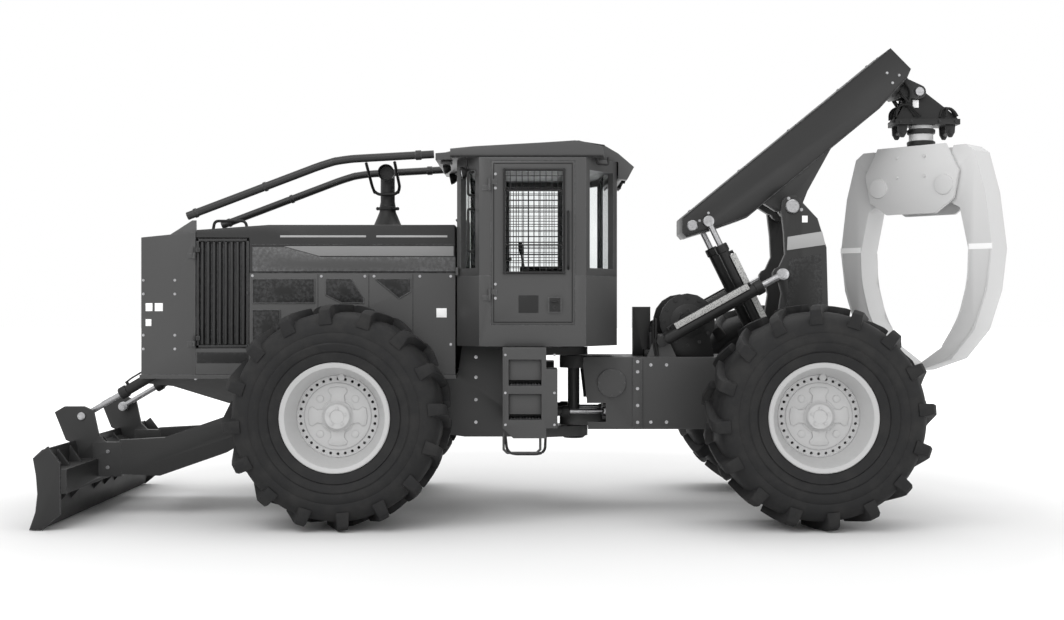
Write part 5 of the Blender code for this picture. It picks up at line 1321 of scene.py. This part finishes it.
class SKIDDER_OT_boom_trim(bpy.types.Operator):
    """Weld seams, cover plates, pin heads, bolts and tip hoses on the boom"""
    bl_idname = "skidder.boom_trim"
    bl_label = "Boom fittings"

    def execute(self, context):
        y = -0.25
        edges = [(1.375, 2.640), (3.235, 4.158)]
        low = [(1.42, 2.470), (1.66, 2.545), (1.955, 2.650), (3.145, 3.630), (3.395, 3.905)]
        seams = [pipe("weld", [(x, y - 0.001, z) for x, z in path], 0.006, sides=2)
                 for path in (edges, low)]
        finish_piece(both(merged("welds", seams), "boom_welds"), "boom", "dark")
        along = (Vector((3.252, 0, 4.176)) - Vector((1.364, 0, 2.635))).normalized()
        up = Vector((-along.z, 0, along.x))
        places = [Vector((1.364, s * 0.20, 2.635)) + along * d for s in (-1, 1)
                  for d in (0.15, 0.75, 1.35, 1.95, 2.30)]
        finish_piece(bolts("boom_bolts", places, 0.012, 0.010, up), "boom", "steel")
        caps = [turn_profile("cap", [(0.0, 0.262), (r - 0.008, 0.262), (r, 0.256), (r, 0.248),
                                     (0.0, 0.248)], (x, 0, z), 32, (0, -1, 0))
                for x, z, r in ((1.455, 2.565, 0.050), (2.333, 2.728, 0.075))]
        caps += [bolts("bolts", [(1.52, y, 2.61), (1.60, y, 2.68), (3.27, y, 3.86), (3.33, y, 3.93),
                                 (3.22, y, 3.95)], 0.009, 0.008, (0, -1, 0))]
        finish_piece(both(merged("caps", caps), "boom_caps"), "boom", "steel")
        tip = [turn_profile("tip_pin", [(0.0, 0.150), (0.038, 0.150), (0.042, 0.142), (0.042, 0.124),
                                        (0.0, 0.124)], (3.547, 0, 3.80), 28, (0, -1, 0))]
        finish_piece(both(merged("tip", tip), "tip_pins"), "boom", "steel")
        hoses = [pipe("hose",
                      [(3.36, s * (0.145 + 0.03 * i), 3.80),
                       (3.44, s * (0.15 + 0.03 * i), 3.70 - 0.02 * i),
                       (3.46, s * (0.15 + 0.03 * i), 3.80), (3.40, s * (0.15 + 0.03 * i), 3.88)], 0.011,
                      0.04, 3, 6) for s in (-1, 1) for i in range(2)]
        finish_piece(merged("boom_tip_hoses", hoses), "boom", "hose")
        return {"FINISHED"}


def in_plane(out, across, z):
    """A point in the grapple's own plane: out from its axis, across it, and up."""
    half = math.sqrt(0.5)
    return (3.60 + (out + across) * half, (across - out) * half, z)


class SKIDDER_OT_grapple_trim(bpy.types.Operator):
    """Yoke ears and hoses, rotator rings, pin covers and bolts on the head"""
    bl_idname = "skidder.grapple_trim"
    bl_label = "Grapple fittings"

    def execute(self, context):
        ears = [plate("ear", [(x - 0.045, 3.515), (x + 0.045, 3.515), (x + 0.040, 3.43),
                              (x + 0.015, 3.385), (x - 0.015, 3.385), (x - 0.040, 3.43)], y - 0.012,
                      y + 0.012, edge=0.005) for x in (3.40, 3.84) for y in (-0.10, 0.10)]
        fork = [disc("fork_pin", (x, -0.125, 3.43), 0.020, 0.25, (0, 1, 0), 24, 0.003)
                for x in (3.40, 3.84)]
        heads = bolts("heads", [(x, -0.143, 3.525) for x in (3.37, 3.47, 3.73, 3.88)], 0.011, 0.010,
                      (0, -1, 0))
        finish_piece(merged("yoke_ears", ears + fork + [heads]), "grapple_yoke", "black")
        hoses = []
        for s in (-1, 1):
            for i in range(3):
                y = s * (0.05 + 0.035 * i)
                hoses.append(pipe("hose",
                                  [(3.47 + 0.05 * i, y, 3.58), (3.44, y, 3.70),
                                   (3.36 - 0.01 * i, y, 3.66), (3.34, y, 3.57)], 0.011, 0.05, 3, 6))
                hoses.append(pipe("hose", [(3.70 + 0.05 * i, y, 3.57), (3.74 + 0.03 * i, y, 3.66),
                                           (3.86, y, 3.66 - 0.01 * i), (3.90, y, 3.575)], 0.011, 0.04,
                                  3, 6))
        finish_piece(merged("yoke_hoses", hoses), "grapple_yoke", "hose")
        tag = block("tag", (3.50, -0.084, 3.66), (3.555, -0.079, 3.73), 0.001)
        finish_piece(both(tag, "yoke_blank_plates"), "grapple_yoke", "white")
        rings = [turn_profile("rotator", [(0.0, z - 0.03), (0.112, z - 0.03), (0.126, z - 0.022),
                                          (0.128, z + 0.010), (0.118, z + 0.018), (0.0, z + 0.018)],
                              (3.60, 0, 0), 48, (0, 0, 1)) for z in (3.34, 3.45)]
        finish_piece(merged("rotator_rings", rings), "grapple_head", "black")
        covers = []
        for s in (-1, 1):
            for out in (-0.33, 0.33):
                axis = Vector(in_plane(0, s, 0)) - Vector(in_plane(0, 0, 0))
                covers.append(turn_profile("cover",
                                           [(0.0, 0.0), (0.085, 0.0), (0.092, 0.006), (0.088, 0.018),
                                            (0.05, 0.024), (0.0, 0.024)],
                                           in_plane(out, s * 0.185, 2.93), 40, axis))
            places = [in_plane(o, s * 0.190, z) for o in (-0.14, 0.14) for z in (3.02, 3.20)]
            covers.append(bolts("head_bolts", places, 0.013, 0.012, axis))
        finish_piece(merged("pin_covers", covers), "grapple_head", "grapple")
        return {"FINISHED"}


class SKIDDER_OT_tong_bands(bpy.types.Operator):
    """White marker bands and weld seams on the tongs"""
    bl_idname = "skidder.tong_bands"
    bl_label = "Tong bands"

    def execute(self, context):
        for side, s in (("near", 1), ("far", -1)):
            outline = [(0.545, 2.34), (0.766, 2.34), (0.764, 2.39), (0.545, 2.39)]
            pieces = [lofted("band", [[in_plane(s * o, face * depth, z) for o, z in outline]
                                      for depth in (0.1462, 0.144)]) for face in (-1, 1)]
            finish_piece(merged(f"tong_{side}_bands", pieces), f"tong_{side}", "white")
            welds = []
            for face in (-1, 1):
                line = [(0.07, 1.262), (0.375, 1.375), (0.588, 1.63), (0.708, 1.985), (0.752, 2.34)]
                welds.append(pipe("weld", [in_plane(s * o, face * 0.1445, z) for o, z in line], 0.005,
                                  0.1, 2, 6))
                line = [(0.545, 2.34), (0.535, 2.06), (0.448, 1.73), (0.29, 1.475)]
                welds.append(pipe("weld", [in_plane(s * o, face * 0.1445, z) for o, z in line], 0.005,
                                  0.1, 2, 6))
            finish_piece(merged(f"tong_{side}_welds", welds), f"tong_{side}", "grapple")
        return {"FINISHED"}


class SKIDDER_OT_blade_trim(bpy.types.Operator):
    """Cutting edge, ribs, bolts and pin bosses on the blade"""
    bl_idname = "skidder.blade_trim"
    bl_label = "Blade fittings"

    def execute(self, context):
        edge = plate("edge", [(-4.094, 0.008), (-4.068, 0.10), (-4.045, 0.10), (-4.068, 0.008)], -1.46,
                     1.46, edge=0.003)
        places = [(-4.080, -1.38 + 0.23 * i, 0.055) for i in range(13)]
        studs = bolts("studs", places, 0.012, 0.006, (-0.96, 0, 0.25))
        finish_piece(merged("cutting_edge", [edge, studs]), "blade", "steel")
        ribs = [plate("rib", [(-4.00, 0.14), (-3.86, 0.29), (-3.86, 0.50), (-3.965, 0.64)], y - 0.012,
                      y + 0.012, edge=0.003) for y in (-1.20, -0.90, -0.30, 0.0, 0.30, 0.90, 1.20)]
        cap = plate("cap", [(-3.985, 0.50), (-3.80, 0.50), (-3.79, 0.515), (-3.985, 0.60)], -0.56, 0.56,
                    edge=0.004)
        finish_piece(merged("blade_ribs", ribs + [cap]), "blade", "dark")
        bosses = []
        for s in (-1, 1):
            bosses.append(disc("boss", (-2.15, s * 0.656, 0.90), 0.058, 0.022, (0, s, 0), 32, 0.004))
            bosses.append(disc("boss", (-3.95, s * 0.655, 0.87), 0.034, 0.014, (0, s, 0), 28, 0.003))
            bosses.append(bolts("bolts", [(-3.72, s * 0.657, z) for z in (0.42, 0.56)], 0.012, 0.010,
                                (0, s, 0)))
        finish_piece(merged("blade_bosses", bosses), "blade", "steel")
        return {"FINISHED"}


# ---- floor, light, camera and sidebar -----------------------------------------------------
CAMERA_AT = (0.0, -12.5, 1.80)
CAMERA_LENS = 45.7


def floor_material():
    """Pale floor that clears to white away from the machine; the clearing is painted light: the colour is
    lifted towards white and a painted emission glow grows with distance.
    """
    tree, shader = material("floor")
    place = node(tree, "TexCoord").outputs["Object"]
    cloud = node(tree, "TexNoise", [("Vector", place)], Scale=0.4, Detail=2.0).outputs["Fac"]
    away = node(tree, "VectorMath", [(0, place)], operation="LENGTH").outputs["Value"]
    # painted light: from 4.5 m out the floor's colour is brightened to white and it glows by emission, though
    # it is no lamp
    clear = ramp(tree, away, 4.5, 11.0)
    near = mix(tree, cloud, (0.74, 0.74, 0.74, 1), (0.78, 0.78, 0.78, 1))
    tree.links.new(mix(tree, clear, near, (1, 1, 1, 1)), shader.inputs["Base Color"])
    tree.links.new(mix(tree, clear, (0, 0, 0, 1), (0.35, 0.35, 0.35, 1)),
                   shader.inputs["Emission Color"])
    shader.inputs["Emission Strength"].default_value = 1.0
    shader.inputs["Roughness"].default_value = 0.8
    return FINISHES["floor"]


def area_light(name, place, target, size, power):
    deselect()
    direction = Vector(target) - Vector(place)
    bpy.ops.object.light_add(type="AREA", location=place,
                             rotation=direction.to_track_quat("-Z", "Y").to_euler())
    lamp = named(name)
    lamp.data.shape = "RECTANGLE"
    lamp.data.size, lamp.data.size_y = size
    lamp.data.energy = power
    return lamp


class SKIDDER_OT_stage(bpy.types.Operator):
    """Pale floor, soft studio light and the camera"""
    bl_idname = "skidder.stage"
    bl_label = "Stage"

    def execute(self, context):
        deselect()
        bpy.ops.mesh.primitive_plane_add(size=160, location=(0, 40, -0.001))
        floor = settle(named("floor"))
        floor.data.materials.append(floor_material())
        lamps = [area_light("key_light", (-5, -9, 10), (0, 0, 1), (9, 7), 520),
                 area_light("top_light", (2, 3, 12), (0, 0, 0), (12, 9), 520),
                 area_light("fill_light", (9, -10, 4), (1, 0, 2), (6, 6), 120)]
        bpy.context.scene.view_settings.view_transform = "Standard"
        world = bpy.data.worlds.new("studio")
        bpy.context.scene.world = world
        world.use_nodes = True
        sky = world.node_tree.nodes["Background"]
        sky.inputs["Color"].default_value = (1, 1, 1, 1)
        sky.inputs["Strength"].default_value = 1.0
        deselect()
        bpy.ops.object.camera_add(location=CAMERA_AT, rotation=(math.pi / 2, 0, 0))
        camera = named("camera")
        camera.data.sensor_width = 36
        camera.data.lens = CAMERA_LENS
        bpy.context.scene.camera = camera
        return {"FINISHED"}


OPERATORS = (SKIDDER_OT_finishes, SKIDDER_OT_wheels, SKIDDER_OT_panels, SKIDDER_OT_grille,
             SKIDDER_OT_louvre_doors, SKIDDER_OT_side_trim, SKIDDER_OT_hood_trim, SKIDDER_OT_risers,
             SKIDDER_OT_exhaust, SKIDDER_OT_cab_doors, SKIDDER_OT_cab_outside,
             SKIDDER_OT_operator_place, SKIDDER_OT_steps, SKIDDER_OT_cylinders, SKIDDER_OT_winch,
             SKIDDER_OT_frame_trim, SKIDDER_OT_arch_trim, SKIDDER_OT_boom_trim, SKIDDER_OT_grapple_trim,
             SKIDDER_OT_tong_bands, SKIDDER_OT_blade_trim, SKIDDER_OT_stage)


class SKIDDER_PT_looks(bpy.types.Panel):
    """Lists the skidder's settings and the pieces to build"""
    bl_label = "Skidder looks"
    bl_idname = "SKIDDER_PT_looks"
    bl_space_type = "VIEW_3D"
    bl_region_type = "UI"
    bl_category = "Skidder"

    def draw(self, context):
        for name in SETTINGS:
            group = getattr(context.scene, name)
            box = self.layout.box()
            for key in group.__annotations__:
                box.prop(group, key)
        for operator in OPERATORS:
            self.layout.operator(operator.bl_idname)


def register():
    for cls in (*SETTINGS.values(), *OPERATORS, SKIDDER_PT_looks):
        bpy.utils.register_class(cls)
    for name, cls in SETTINGS.items():
        setattr(bpy.types.Scene, name, PointerProperty(type=cls))


def unregister():
    for name in SETTINGS:
        delattr(bpy.types.Scene, name)
    for cls in reversed((*SETTINGS.values(), *OPERATORS, SKIDDER_PT_looks)):
        bpy.utils.unregister_class(cls)


def main():
    register()
    for operator in OPERATORS:
        group, action = operator.bl_idname.split(".")
        getattr(getattr(bpy.ops, group), action)()


if __name__ == "__main__":
    main()
